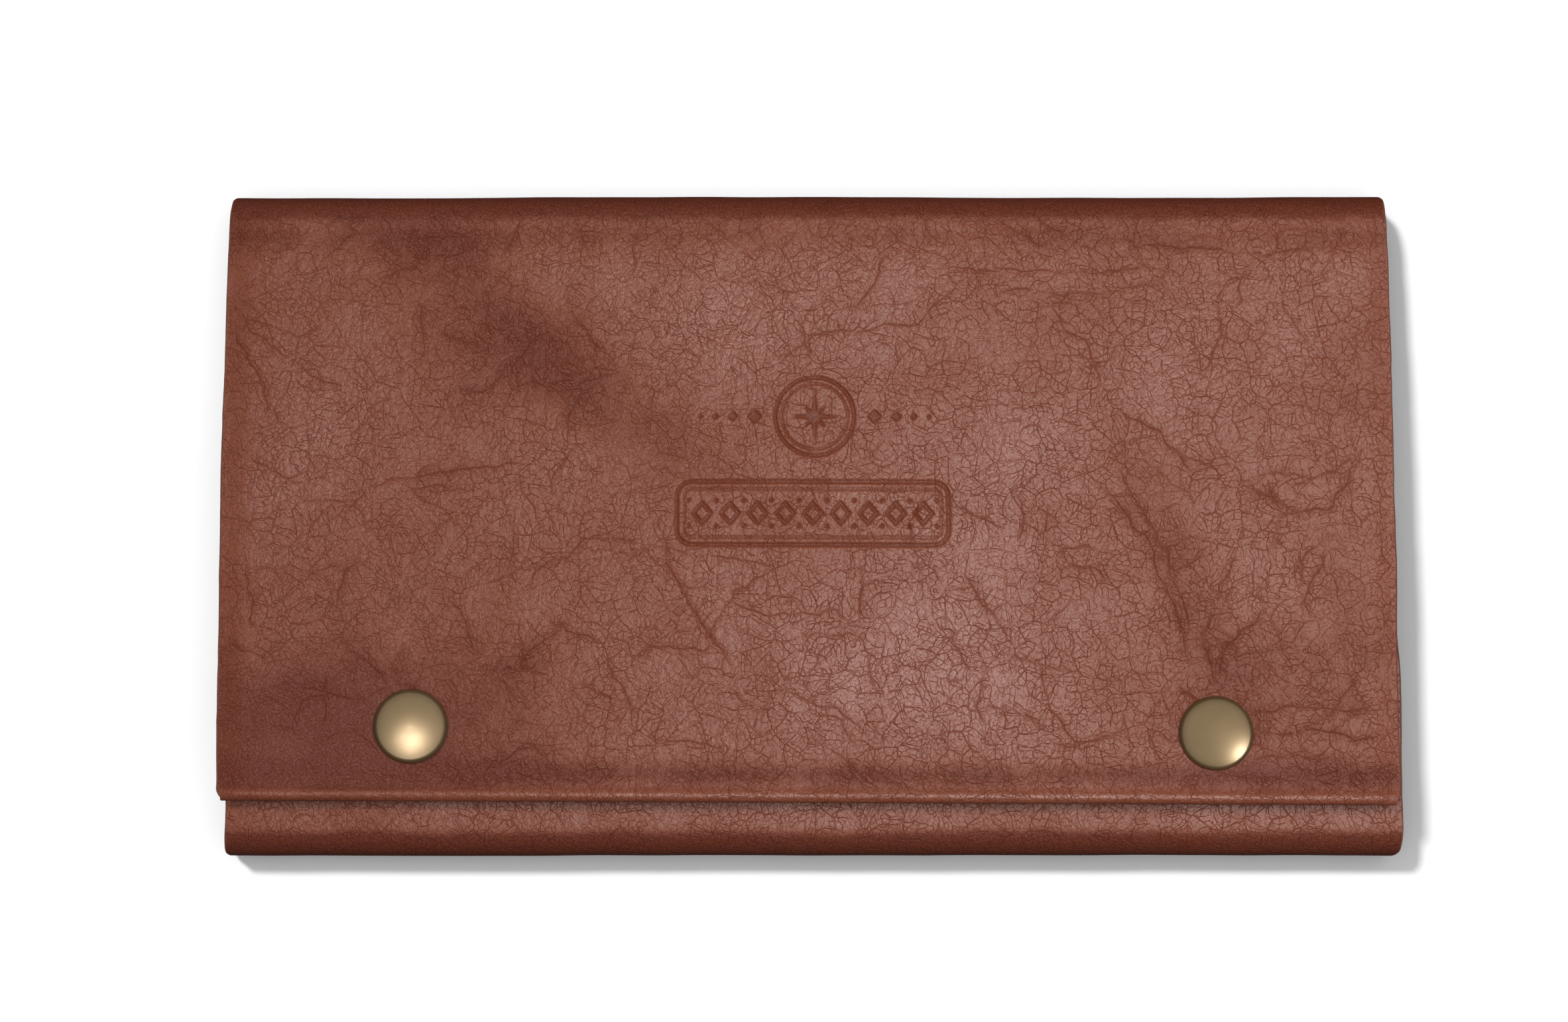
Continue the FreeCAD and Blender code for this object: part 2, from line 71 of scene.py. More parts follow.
# Sizes taken from the frame.
HALF_WIDTH = high("back_cover")[0]
FOLD_R = high("front_cover")[2] / 2
FLAT = high("top_fold_cover")[1] - FOLD_R
COVER = low("back_lining")[2]
LINING = low("pocket_gusset_bottom")[2] - COVER
LINING_HALF = high("back_lining")[0]
FRONT_EDGE = high("front_cover")[1]

# The flap's own sizes.
SLOPE = math.radians(2.8)
FLAP_LENGTH = 118.4
HEM_LENGTH = 6.5
HEM_THICK = 0.9
HEM_ROLL = (COVER + HEM_THICK) / 2

# Places along the hide.
QUARTER = FLAT + FOLD_R * math.pi / 2
TOP_ARC = FOLD_R * (math.pi - SLOPE)
FLAP_START = FLAT + TOP_ARC
FRONT_START = FLAT + FOLD_R * math.pi
FRONT_END = FRONT_START + FLAT + FRONT_EDGE

# How far the cut sides stand out past the grids, and how far apart the grids' points are.
HIDE_SIDE = 0.35
THIN_SIDE = 0.15
FLAP_STEP = 0.52
ORNAMENT_STEP = 0.28
FOLD_STEP = 0.5
WIDE_STEP = 1.6
LINING_STEP = 1.4
LINING_FOLD_STEP = 0.6
RINGS = 3


# --- Smooth noise and small shapes on the hide ---


def smooth(t):
    t = np.clip(t, 0.0, 1.0)
    return t * t * (3 - 2 * t)


def lattice(u, v, cell, seed):
    """Smooth noise from -1 to 1, about one cell from hill to hollow."""
    size, shift = 97, 40.0
    table = np.random.default_rng(seed).uniform(-1, 1, (size, size))
    a, b = u / cell + shift, v / cell + shift
    i, j = np.floor(a).astype(int), np.floor(b).astype(int)
    fa, fb = smooth(a - i), smooth(b - j)

    def at(di, dj):
        return table[(i + di) % size, (j + dj) % size]

    return (at(0, 0) * (1 - fa) + at(1, 0) * fa) * (1 - fb) + (at(0, 1) * (1 - fa) + at(1, 1) * fa) * fb


def clouds(u, v, cell, seed, octaves=3):
    """Layers of lattice noise, each turned and half the size of the last."""
    total, amount, turn = 0.0, 1.0, 0.5
    for k in range(octaves):
        c, s = math.cos(turn * (k + 1)), math.sin(turn * (k + 1))
        total = total + amount * lattice(u * c - v * s, u * s + v * c, cell / 2**k, seed + k)
        amount *= 0.5
    return total / 1.75


def bump_at(x, y, cx, cy, rx, ry, turn=0.0):
    """A round or oval hill of height 1."""
    c, s = math.cos(turn), math.sin(turn)
    u, v = (x - cx) * c + (y - cy) * s, -(x - cx) * s + (y - cy) * c
    return np.exp(-((u / rx) ** 2) - (v / ry) ** 2)


def segment_distance(x, y, a, b):
    """Distance from each point to the segment a to b, and how far along it the nearest point is."""
    ab = np.subtract(b, a)
    t = np.clip(((x - a[0]) * ab[0] + (y - a[1]) * ab[1]) / (ab @ ab), 0, 1)
    return np.hypot(x - a[0] - t * ab[0], y - a[1] - t * ab[1]), t


def polygon_distance(x, y, points):
    """Distance to a closed outline, negative inside it."""
    nearest, inside = np.full(x.shape, 1e9), np.zeros(x.shape, bool)
    for a, b in zip(points, points[1:] + points[:1]):
        nearest = np.minimum(nearest, segment_distance(x, y, a, b)[0])
        crosses = (a[1] > y) != (b[1] > y)
        with np.errstate(divide="ignore", invalid="ignore"):
            where = (b[0] - a[0]) * (y - a[1]) / (b[1] - a[1]) + a[0]
        inside ^= crosses & (x < where)
    return np.where(inside, -nearest, nearest)


def rounded_box(x, y, half_w, half_h, radius):
    qx, qy = np.abs(x) - half_w + radius, np.abs(y) - half_h + radius
    return np.hypot(np.maximum(qx, 0), np.maximum(qy, 0)) + np.minimum(np.maximum(qx, qy), 0) - radius


# --- The pressed ornament ---

EMBLEM = (1.4, 21.0)
PANEL = (1.0, 1.3)
PRESS_DEPTH = 0.36


def ornament(x, y):
    """How far inside the pressed lines each point of the flap is, in mm; negative outside them."""
    ex, ey = x - EMBLEM[0], y - EMBLEM[1]
    ring = np.hypot(ex, ey)
    star = []
    for k in range(16):
        reach = (5.7, 1.25, 3.3, 1.25)[k % 4]
        turn = math.pi * k / 8
        star.append((reach * math.sin(turn), reach * math.cos(turn)))
    lines = [np.abs(ring - 8.0) - 0.33, np.abs(ring - 6.7) - 0.17, polygon_distance(ex, ey, star)]
    for side in (-1, 1):
        for reach, half in ((12.2, 1.5), (16.6, 1.1), (20.2, 0.75), (23.2, 0.5)):
            lines.append((np.abs(ex - side * reach) + np.abs(ey) - half) * 0.7)
    px, py = x - PANEL[0], y - PANEL[1]
    outer = rounded_box(px, py, 27.5, 6.4, 3.0)
    lines += [np.abs(outer) - 0.36, np.abs(outer + 1.5) - 0.17]
    for k in range(-4, 5):
        dx = np.abs(px - 5.6 * k)
        lozenge = (dx / 2.3 + np.abs(py) / 2.7 - 1) * 1.5
        lines.append(np.abs(lozenge + 0.35) - 0.3)
        lines.append(np.hypot(np.abs(px - 5.6 * k) - 2.8, np.abs(py) - 2.6) - 0.42)
    return -np.minimum.reduce(lines)


# --- The shape of the hide ---


def snap_places():
    places = []
    for side in ("left", "right"):
        middle = (low(f"snap_cap_{side}") + high(f"snap_cap_{side}")) / 2
        places.append((middle[0], middle[1]))
    return places


SNAPS = snap_places()

# Long creases of the flap: a chain of (x, y) points, a depth, and a width where it isn't CREASE_WIDTH.
CREASE_WIDTH = 0.6
CREASES = [
    ([(56, 12), (63, 3), (70, -4), (73, -16), (76, -26), (79, -34)], 0.20, 0.8),
    ([(60, 14), (67, 4), (73, -6), (76, -18), (78, -27)], 0.12, 0.7),
    ([(82, -16), (80, -22), (81, -29), (81.5, -34)], 0.16),
    ([(94, -16), (89, -22), (84, -27), (82, -34)], 0.16),
    ([(88, -4), (84, -12), (82, -17)], 0.08),
    ([(106, -1), (104, -8), (101, -16), (102, -22)], 0.12),
    ([(84, 7), (91, 6), (99, 2), (105, 2), (109, 9), (110, 14)], 0.13),
    ([(46, -26), (47, -32), (49, -37), (52, -42), (56, -49)], 0.13),
    ([(34, -37), (42, -39), (50, -42)], 0.10),
    ([(48, 46), (56, 36), (60, 22)], 0.10, 0.7),
    ([(60, 24), (72, 18), (80, 8)], 0.09),
    ([(-30, -2), (-29, -8), (-26, -13), (-22, -20), (-18, -26), (-15, -31)], 0.18, 0.7),
    ([(-30, -3), (-38, -4), (-45, -5), (-55, -11), (-57, -18)], 0.12),
    ([(-92, 6), (-84, 8), (-75, 9), (-65, 10), (-52, 12)], 0.11),
    ([(-54, -19), (-47, -23), (-41, -25)], 0.10),
    ([(-118, 43), (-110, 35), (-100, 29), (-92, 26)], 0.14, 0.7),
    ([(-118, 41), (-112, 30), (-109, 18)], 0.13, 0.7),
    ([(-118, 42), (-108, 39), (-98, 38)], 0.09),
    ([(30, -8), (38, -20), (44, -28)], 0.09, 0.7),
    ([(2, 46), (-2, 38), (2, 32)], 0.06),
    ([(-14, 32), (2, 37), (22, 41), (36, 50)], 0.07),
    ([(-20, -14), (-8, -20), (6, -19), (20, -26)], 0.08),
    ([(-8, -34), (6, -38), (14, -46)], 0.08),
    ([(18, 53), (40, 50.5), (62, 51), (86, 53)], 0.12),
    ([(34, 47), (56, 46), (78, 49)], 0.10),
    ([(58, 57), (86, 55.5), (112, 56.5)], 0.10),
    ([(89, -38), (98, -36.5), (108, -38), (117, -36)], 0.12),
    ([(90, -43), (100, -42), (110, -44), (118, -42)], 0.12),
    ([(87, -49), (98, -47.5), (110, -49.5)], 0.10),
    ([(66, -42), (58, -45), (48, -46)], 0.10),
    ([(-88, -38), (-100, -34), (-112, -35)], 0.07),
]


def small_creases():
    """Short creases scattered over the flap, most of them under the ornament and on the right."""
    draw = np.random.default_rng(2031)
    chains = []
    for _ in range(120):
        x, y = draw.uniform(-112, 112), draw.uniform(-50, 56)
        if abs(x) < 34 and -8 < y < 33:
            y = draw.uniform(-50, -12)
        turn, chain = draw.uniform(0, math.pi), [(x, y)]
        for _ in range(4):
            turn += draw.normal(0, 0.45)
            step = draw.uniform(2.5, 6.0)
            chain.append((chain[-1][0] + step * math.cos(turn), chain[-1][1] + step * math.sin(turn)))
        chains.append((chain, draw.uniform(0.0, 0.10), draw.uniform(0.5, 0.7)))
    return chains


def crease_field(x, y):
    """The creases: the depth of their soft grooves, and the nearest one's signed distance and strength."""
    wx = x + 1.6 * clouds(x, y, 9.0, 71) + 0.8 * clouds(x, y, 2.8, 73)
    wy = y + 1.6 * clouds(x, y, 9.0, 83) + 0.8 * clouds(x, y, 2.8, 89)
    broken = 0.55 + 0.9 * smooth(0.5 + 0.9 * clouds(x, y, 5.0, 79))
    grooves, gap, force = np.zeros(x.shape), np.full(x.shape, 9.0), np.zeros(x.shape)
    for chain, depth, *width in CREASES + small_creases():
        xs, ys = zip(*chain)
        near = (wx > min(xs) - 5) & (wx < max(xs) + 5) & (wy > min(ys) - 5) & (wy < max(ys) + 5)
        if not near.any():
            continue
        px, py = wx[near], wy[near]
        nearest, along, side = np.full(px.shape, 1e9), np.zeros(px.shape), np.ones(px.shape)
        for k, (a, b) in enumerate(zip(chain, chain[1:])):
            d, t = segment_distance(px, py, a, b)
            closer = d < nearest
            nearest = np.where(closer, d, nearest)
            along = np.where(closer, (k + t) / (len(chain) - 1), along)
            left = (b[0] - a[0]) * (py - a[1]) - (b[1] - a[1]) * (px - a[0]) > 0
            side = np.where(closer, np.where(left, 1.0, -1.0), side)
        taper = smooth(along / 0.25) * smooth((1 - along) / 0.25) * broken[near]
        width = 0.85 * (width[0] if width else CREASE_WIDTH)
        groove = np.exp(-((nearest / width) ** 2)) - 0.25 * np.exp(-((nearest / (3.0 * width)) ** 2))
        grooves[near] += 0.85 * depth * taper * groove
        wins = nearest < np.abs(gap[near])
        gap[near] = np.where(wins, side * nearest, gap[near])
        strength = taper * min(1.0, 0.45 + depth * 4.0) * np.exp(-((nearest / 1.1) ** 2))
        force[near] = np.where(wins, strength, force[near])
    return grooves, gap, force


def wrinkles(x, y, angle, length, width, seed):
    """Fine parallel wrinkles, a mean length and width, running at an angle."""
    c, s = math.cos(angle), math.sin(angle)
    u, v = x * c + y * s, -x * s + y * c
    v = v + 1.2 * clouds(u, v, 14.0, seed + 5)
    ridge = 1 - np.abs(lattice(u / length * width, v, width, seed))
    return ridge**2 - 0.5


def flap_relief(x, y):
    """The flap's height over a plain sheet, in mm, from its slow waves down to its small wrinkles."""
    near_snap, close_snap = np.ones(x.shape), np.ones(x.shape)
    for sx, sy in SNAPS:
        near_snap *= smooth((np.hypot(x - sx, y - sy) - 7.0) / 9.0)
        close_snap *= smooth((np.hypot(x - sx, y - sy) - 7.2) / 3.0)
    waves = 0.85 * clouds(x, y, 46.0, 11) + 0.20 * clouds(x, y, 17.0, 29)
    waves += 0.55 * bump_at(x, y, -88, 30, 24, 18) + 0.5 * bump_at(x, y, -4, 44, 26, 12)
    waves -= 0.8 * bump_at(x, y, -52, 32, 34, 8, -0.75) + 0.6 * bump_at(x, y, 70, -2, 9, 34, 0.35)
    waves += 0.5 * bump_at(x, y, 88, 34, 20, 22) - 0.35 * bump_at(x, y, -86, -24, 22, 12)
    waves += 0.7 * np.sin(np.clip((FLAT - y) / 104.0, 0, 1) * math.pi)
    fine = -crease_field(x, y)[0]
    fine += 0.10 * wrinkles(x, y, 0.03, 16, 1.7, 41) * smooth((y - 51) / 5) * smooth((x - 8) / 20)
    fine += 0.07 * wrinkles(x, y, 0.0, 14, 1.9, 47) * smooth((y - 55) / 4)
    fine += 0.15 * wrinkles(x, y, 0.25, 12, 2.2, 53) * bump_at(x, y, 104, -41, 13, 10)
    fine += 0.05 * wrinkles(x, y, -0.75, 14, 2.0, 59) * bump_at(x, y, -44, 30, 30, 16, -0.75)
    fine += 0.08 * wrinkles(x, y, 1.25, 12, 1.9, 61) * bump_at(x, y, -114, 26, 8, 22)
    fine += 0.035 * clouds(x, y, 3.4, 67)
    dimple = sum(bump_at(x, y, sx, sy, 9.2, 9.2) for sx, sy in SNAPS)
    return waves * near_snap + fine * close_snap - 0.12 * dimple


def edge_droop(x, half):
    """The hide's sides bend a little towards the inside."""
    left, right = smooth((-x - half + 8.0) / 8.0), smooth((x - half + 7.0) / 7.0)
    return -0.75 * left**2 - 0.6 * right**2


def relief(x, s):
    """Height of the hide over its plain rolled shape, in mm, at places on it."""
    y = FLAT - (s - FLAP_START)
    on_flap = smooth((s - QUARTER) / (FLAP_START - QUARTER + 2.0))
    on_front = smooth((-s - QUARTER) / 12.0)
    rolls = 0.20 * lattice(x, s * 0.4, 38.0, 5) + 0.06 * lattice(x, s * 0.5, 11.0, 6)
    height = rolls * smooth((np.abs(s) - FLAT) / 5.0)
    height = height - 0.08 * (1 + clouds(x, s, 21.0, 15)) * smooth((FLAT - np.abs(s)) / 8.0)
    height = height + on_flap * (flap_relief(x, y) + edge_droop(x, HALF_WIDTH))
    front = 0.25 * clouds(x, s, 24.0, 91) + 0.03 * clouds(x, s, 3.4, 97)
    front += 0.06 * wrinkles(x, s, 1.45, 7, 2.4, 101) * smooth((-s - FRONT_START + 2) / 4)
    height = height + on_front * (front + 0.4 * edge_droop(x, HALF_WIDTH))
    to_hem = FLAP_START + FLAP_LENGTH - s
    bead = 0.42 * np.exp(-(((to_hem - 1.5) / 1.0) ** 2)) - 0.28 * np.exp(-(((to_hem - 4.2) / 1.9) ** 2))
    return height + on_flap * bead * (s < FLAP_START + FLAP_LENGTH + 4)


def across(x, s):
    """Where a place of the hide lies across the holder. The hide is a little narrower over the top
    fold, its corners are worn round, and it is folded a little askew, with the flap to the left and
    the front panel to the right."""
    to_fold = np.where(s > 0, smooth(s / QUARTER) * (1 - np.clip((s - QUARTER) / 90.0, 0, 1)), 0.0)
    corner = 0.7 * smooth(1 - np.abs(np.abs(s) - QUARTER) / 4.5) ** 2
    corner += 0.9 * smooth((s - FLAP_START - FLAP_LENGTH + 2.6) / 2.4)
    corner *= smooth((np.abs(x) - HALF_WIDTH + 5.0) / 5.0) * np.sign(x)
    to_end = smooth((-s - FRONT_START - 26.0) / 20.0)
    askew = -0.2 * smooth((s - FLAT) / 30.0) + 1.1 * smooth((-s - FLAT) / 20.0) * (1 - 0.8 * to_end)
    return x * (1 - 0.0060 * to_fold) - corner + askew


def place(x, s, depth):
    """Points of the rolled hide at a depth under its outer face, and the outward directions there."""
    side, a = np.sign(s + 1e-9), np.abs(s)
    arc = np.where(s > 0, math.pi - SLOPE, math.pi)
    turn = np.clip((a - FLAT) / FOLD_R, 0, arc)
    run = np.maximum(a - FLAT - FOLD_R * arc, 0)
    y = side * (np.minimum(a, FLAT) + FOLD_R * np.sin(turn) + run * np.cos(turn))
    z = FOLD_R - FOLD_R * np.cos(turn) + run * np.sin(turn)
    normal = np.stack([np.zeros_like(y), side * np.sin(turn), -np.cos(turn)], -1)
    askew = 0.004 * x * smooth((s - FLAP_START) / FLAP_LENGTH)
    point = np.stack([across(x, s), y - askew, z], -1)
    return point - normal * depth[..., None], normal


# --- Meshes ---


def spaced(start, end, step, dense=()):
    """Places from start to end, a step apart, or closer within each (low, high, step) of dense."""
    places, at = [start], start
    sign = 1 if end > start else -1
    while abs(end - at) > 1e-6:
        here = step
        for lo, hi, fine in dense:
            gap = max(lo - at, at - hi, 0.0)
            here = min(here, fine + gap * 0.2)
        at = at + sign * here
        if (end - at) * sign < here * 0.5:
            at = end
        places.append(at)
    return np.array(places)


def grid_normals(points):
    """Unit normals of a grid of points, right-handed from its columns to its rows."""
    across, along = np.gradient(points, axis=1), np.gradient(points, axis=0)
    n = np.cross(across, along)
    return n / np.maximum(np.linalg.norm(n, axis=-1, keepdims=True), 1e-12)


def new_mesh(name, points, faces, materials, slots=None, fields=None):
    """A smooth-shaded piece. faces holds arrays of faces with as many corners each, or single faces."""
    corners, sizes = [], []
    for group in faces:
        group = np.atleast_2d(np.array(group, np.int32))
        corners.append(group.ravel())
        sizes.append(np.full(len(group), group.shape[1], np.int32))
    corners, sizes = np.concatenate(corners), np.concatenate(sizes)
    mesh = bpy.data.meshes.new(name)
    mesh.vertices.add(len(points))
    mesh.vertices.foreach_set("co", (points * MM).astype(np.float32).ravel())
    mesh.loops.add(len(corners))
    mesh.loops.foreach_set("vertex_index", corners)
    mesh.polygons.add(len(sizes))
    mesh.polygons.foreach_set("loop_start", (np.cumsum(sizes) - sizes).astype(np.int32))
    for key, values in (fields or {}).items():
        attribute = mesh.attributes.new(key, "FLOAT_VECTOR", "POINT")
        attribute.data.foreach_set("vector", values.astype(np.float32).ravel())
    for m in materials:
        mesh.materials.append(m)
    if slots is not None:
        mesh.polygons.foreach_set("material_index", np.array(slots, np.int32))
    mesh.update(calc_edges=True)
    mesh.shade_smooth()
    piece = bpy.data.objects.new(name, mesh)
    bpy.context.scene.collection.objects.link(piece)
    return piece


def border_walk(rows, columns):
    """The (row, column) places round a grid, anticlockwise from its first corner."""
    walk = [(0, c) for c in range(columns - 1)]
    walk += [(r, columns - 1) for r in range(rows - 1)]
    walk += [(rows - 1, c) for c in range(columns - 1, 0, -1)]
    walk += [(r, 0) for r in range(rows - 1, 0, -1)]
    return walk


def sheet_mesh(name, outer, inner, coords, materials, rounding, finish_and_painted_light=None, coarse=6, normals=None):
    """A closed sheet: a fine outer grid, a rounded rim and a coarse inner grid.

    outer and inner are grids of points, coords their places on the hide and rounding how far the rim
    stands out at each grid point. Materials are for the outer face, the rim and the inner face.
    finish is a grid of what hide_finish_and_painted_light gives, for the outer face's material. The corners of an end
    that meets the next length stand out straight to the side.
    """
    if ((inner - outer) * grid_normals(outer)).sum() < 0:
        outer, inner, coords, rounding = (g[:, ::-1] for g in (outer, inner, coords, rounding))
    rows, columns = outer.shape[:2]
    walk = border_walk(rows, columns)
    wr, wc = np.array(walk).T
    count = rows * columns
    index = np.arange(count).reshape(rows, columns)
    inward = grid_normals(outer)[wr, wc]
    top, bottom = outer[wr, wc], inner[wr, wc]
    outward = np.cross(np.roll(top, -1, 0) - np.roll(top, 1, 0), inward)
    for corner in (0, columns - 1, columns + rows - 2, 2 * columns + rows - 3):
        r, c = walk[corner]
        beside = 1 if c == 0 else columns - 2
        if rounding[r, beside] == 0:
            outward[corner] = outer[r, c] - outer[r, beside]
    outward /= np.maximum(np.linalg.norm(outward, axis=1, keepdims=True), 1e-12)
    thick = np.linalg.norm(bottom - top, axis=1)[:, None]
    points, places = [outer.reshape(-1, 3)], [coords.reshape(-1, 3)]
    faces = [np.stack([index[:-1, :-1], index[1:, :-1], index[1:, 1:], index[:-1, 1:]], -1).reshape(-1, 4)]
    slots = [np.zeros(len(faces[0]))]
    ring_ids = [index[wr, wc]]
    for k in range(1, RINGS + 2):
        t = math.pi * k / (RINGS + 1)
        sink = (1 - math.cos(t)) / 2
        points.append(top + (bottom - top) * sink + outward * (rounding[wr, wc] * math.sin(t))[:, None])
        places.append(coords[wr, wc] - np.array([0, 0, 1.0]) * thick * sink)
        ring_ids.append(count + np.arange(len(walk)) + (k - 1) * len(walk))
    for a, b in zip(ring_ids, ring_ids[1:]):
        faces.append(np.stack([a, np.roll(a, -1), np.roll(b, -1), b], -1))
        slots.append(np.ones(len(a)))
    # the inner grid keeps every coarse-th row and column, and its outermost cells meet every point of the rim
    lookup = {at: int(i) for at, i in zip(walk, ring_ids[-1])}
    pick_r = sorted(set(range(0, rows - 1, coarse)) | {rows - 1})
    pick_c = sorted(set(range(0, columns - 1, coarse)) | {columns - 1})
    inside = [(r, c) for r in pick_r[1:-1] for c in pick_c[1:-1]]
    lookup.update({at: count + (RINGS + 1) * len(walk) + k for k, at in enumerate(inside)})
    if inside:
        ir, ic = np.array(inside).T
        points.append(inner[ir, ic])
        places.append(coords[ir, ic] - np.array([0, 0, 1.0]) * thick.mean())
    for r0, r1 in zip(pick_r, pick_r[1:]):
        for c0, c1 in zip(pick_c, pick_c[1:]):
            loop = side_points(r0, c0, r0, c1, r0 == 0)
            loop += side_points(r0, c1, r1, c1, c1 == columns - 1)
            loop += side_points(r1, c1, r1, c0, r1 == rows - 1)
            loop += side_points(r1, c0, r0, c0, c0 == 0)
            faces.append([lookup[at] for at in loop])
            slots.append([2])
    points, places = np.concatenate(points), np.concatenate(places)
    looks = np.zeros((len(points), 6))
    if finish_and_painted_light is not None:
        looks[:count] = finish_and_painted_light.reshape(-1, 6)
        looks[ring_ids[-1]] = looks[ring_ids[0]]
    fields = {"hide": places, "finish_and_painted_light": looks[:, :3], "crease": looks[:, 3:]}
    piece = new_mesh(name, points, faces, materials, np.concatenate(slots), fields)
    if normals is not None:
        kept = np.zeros((len(points), 3))
        kept[:count] = normals.reshape(-1, 3)
        piece.data.normals_split_custom_set_from_vertices(kept.tolist())
    return piece


def side_points(r0, c0, r1, c1, on_rim):
    """The grid places from one corner of a coarse cell up to the next, all of them on the rim."""
    if not on_rim:
        return [(r0, c0)]
    steps = max(abs(r1 - r0), abs(c1 - c0))
    return [(r0 + (r1 - r0) * k // steps, c0 + (c1 - c0) * k // steps) for k in range(steps)]


def hide_finish_and_painted_light(X, S):
    """How each place of the hide looks: pressed, how light or deep it is, from -1 (paler dye and painted
    sheen) to 1 (deeper dye, and painted shade in the folds, near the top fold, above the hem, towards the
    left, at the right edge and along the creases, with a painted highlight on the hem's bead), how calm its
    grain is, and the nearest crease's signed distance and strength."""
    y = FLAT - (S - FLAP_START)
    on_flap = smooth((S - FLAP_START + 6) / 10.0)
    pressed = smooth((ornament(X, y) + 0.16) / 0.34) * on_flap * (y > -10)
    gap, force = crease_field(X, y)[1:]
    # Positive values are painted deeper, negative ones paler. The hills give darker patches; the rise at the
    # right edge is painted shade where the edge bends down.
    tone_and_painted_light = 0.62 * bump_at(X, y, -54, 34, 38, 9, -0.70) + 0.12 * smooth((X - 98) / 14.0)
    tone_and_painted_light += 0.5 * bump_at(X, y, 75, -8, 8, 28, 0.4) + 0.55 * bump_at(X, y, -92, -40, 34, 14)
    to_hem = FLAP_START + FLAP_LENGTH - S
    # painted shade in a band above the hem's bead, and a painted highlight on the bead's crest
    hem_painted_light = 0.7 * np.exp(-(((to_hem - 5.6) / 2.8) ** 2)) - 0.6 * np.exp(-(((to_hem - 1.5) / 0.6) ** 2))
    # near the top fold the flap is painted deeper: painted shade
    tone_and_painted_light += hem_painted_light + 0.4 * smooth((y - 52) / 7.0) + 0.4 * bump_at(X, y, 84, -42, 26, 14)
    tone_and_painted_light += 0.4 * bump_at(X, y, 98, -28, 16, 12)
    # painted shade along the creases; the hill taken away on this line and those on the next line are painted
    # sheen
    tone_and_painted_light += 0.22 * force + 0.15 * bump_at(X, y, -24, -26, 14, 20) - 0.5 * bump_at(X, y, -98, 24, 18, 34)
    tone_and_painted_light -= 0.4 * bump_at(X, y, -22, 46, 34, 12) + 0.35 * bump_at(X, y, 20, -32, 26, 18)
    # painted shade in the folds
    fold_painted_shade = smooth((np.abs(S) - FLAT) / 4.0) * smooth((FLAP_START + 0.7 - np.abs(S)) / 4.0)
    # painted shade, growing towards the left
    tone_and_painted_light += 0.32 * smooth((-X - 15.0) / 80.0)
    tone_and_painted_light = 0.30 * clouds(X, S, 22.0, 131, 4) + tone_and_painted_light * on_flap + 1.3 * fold_painted_shade
    calm = bump_at(X, y, -98, -44, 34, 14) * on_flap + 0.25 * clouds(X, S, 30.0, 137)
    return np.stack([pressed, tone_and_painted_light, calm, gap, force * on_flap, 0 * X], -1)


def hide_sheet(name, xs, ss, materials, seams, layer):
    """A length of the hide (layer 0) or of its lining (layer 1). seams says which of its two ends are
    cut to meet the next length."""
    if ss[-1] < ss[0]:
        ss, seams = ss[::-1], seams[::-1]
    half = HALF_WIDTH if layer == 0 else LINING_HALF
    top = 0.0 if layer == 0 else COVER + 0.03
    thick = COVER if layer == 0 else LINING - 0.05
    ghosts = np.concatenate([[2 * ss[0] - ss[1]], ss, [2 * ss[-1] - ss[-2]]])
    S, X = np.meshgrid(ghosts, xs, indexing="ij")
    side = np.sign(X) * 300.0
    waver = 0.22 * lattice(S, side, 15.0, 7 + layer) + 0.06 * lattice(S, side, 3.0, 9)
    X = X + waver * smooth((np.abs(X) - half + 6.0) / 6.0)
    outer, inner = hide_faces(X, S, top, thick)
    finish_and_painted_light = hide_finish_and_painted_light(X, S) if layer == 0 else np.zeros(X.shape + (6,))
    outer -= place(X, S, S * 0)[1] * PRESS_DEPTH * finish_and_painted_light[..., :1]
    normals = -grid_normals(outer)
    rounding = np.full(X.shape, 0.32 * thick)[1:-1]
    for end, is_seam in ((0, seams[0]), (-1, seams[1])):
        if is_seam:
            rounding[end, 1:-1] = 0.0
    coords = np.stack([X, S, np.full(X.shape, -top)], -1)
    outer, inner, coords, normals, finish_and_painted_light = (g[1:-1] for g in (outer, inner, coords, normals, finish_and_painted_light))
    return sheet_mesh(name, outer, inner, coords, materials, rounding, finish_and_painted_light, normals=normals)


def hide_faces(X, S, top, thick):
    """The outer and inner faces of a length of hide, the turned hem included."""
    nose = HEM_ROLL
    end = FLAP_START + FLAP_LENGTH - nose
    if top > 0 or S.max() < end + 1:
        lift = place(X, S, S * 0)[1] * relief(X, S)[..., None]
        return place(X, S, S * 0 + top)[0] + lift, place(X, S, S * 0 + top + thick)[0] + lift
    # past its straight end the hide turns under in a half circle and runs back as the hem
    past = np.maximum(S - end, 0)
    turn = np.clip(past / nose, 0, math.pi)
    back = np.maximum(past - nose * math.pi, 0)
    under = turn > math.pi / 2
    edge = np.minimum(S, end)
    base, normal = place(X, edge, S * 0)
    ahead = np.array([0.0, -math.cos(SLOPE), math.sin(SLOPE)])
    hem_lift = relief(X, np.where(under, edge - back, np.minimum(S, end + 0.4)))
    lift = normal * (hem_lift * np.where(under, 0.6, np.maximum(np.cos(turn), 0.0) * 0.4 + 0.6))[..., None]
    # the corners of the hem keep the width of the flap's own worn corners
    base[..., 0] = place(X, np.where(under, end + 2 * nose - nose * math.pi / 2, S), S * 0)[0][..., 0]
    drop, reach = nose - nose * np.cos(turn), nose * np.sin(turn) - back
    outer = base - normal * drop[..., None] + ahead * reach[..., None] + lift
    inner_drop = COVER + 0.03 * smooth(turn)
    inner_reach = 0.35 * np.sin(turn) - back
    inner = base - normal * inner_drop[..., None] + ahead * inner_reach[..., None] + lift
    return outer, inner


# --- Materials ---


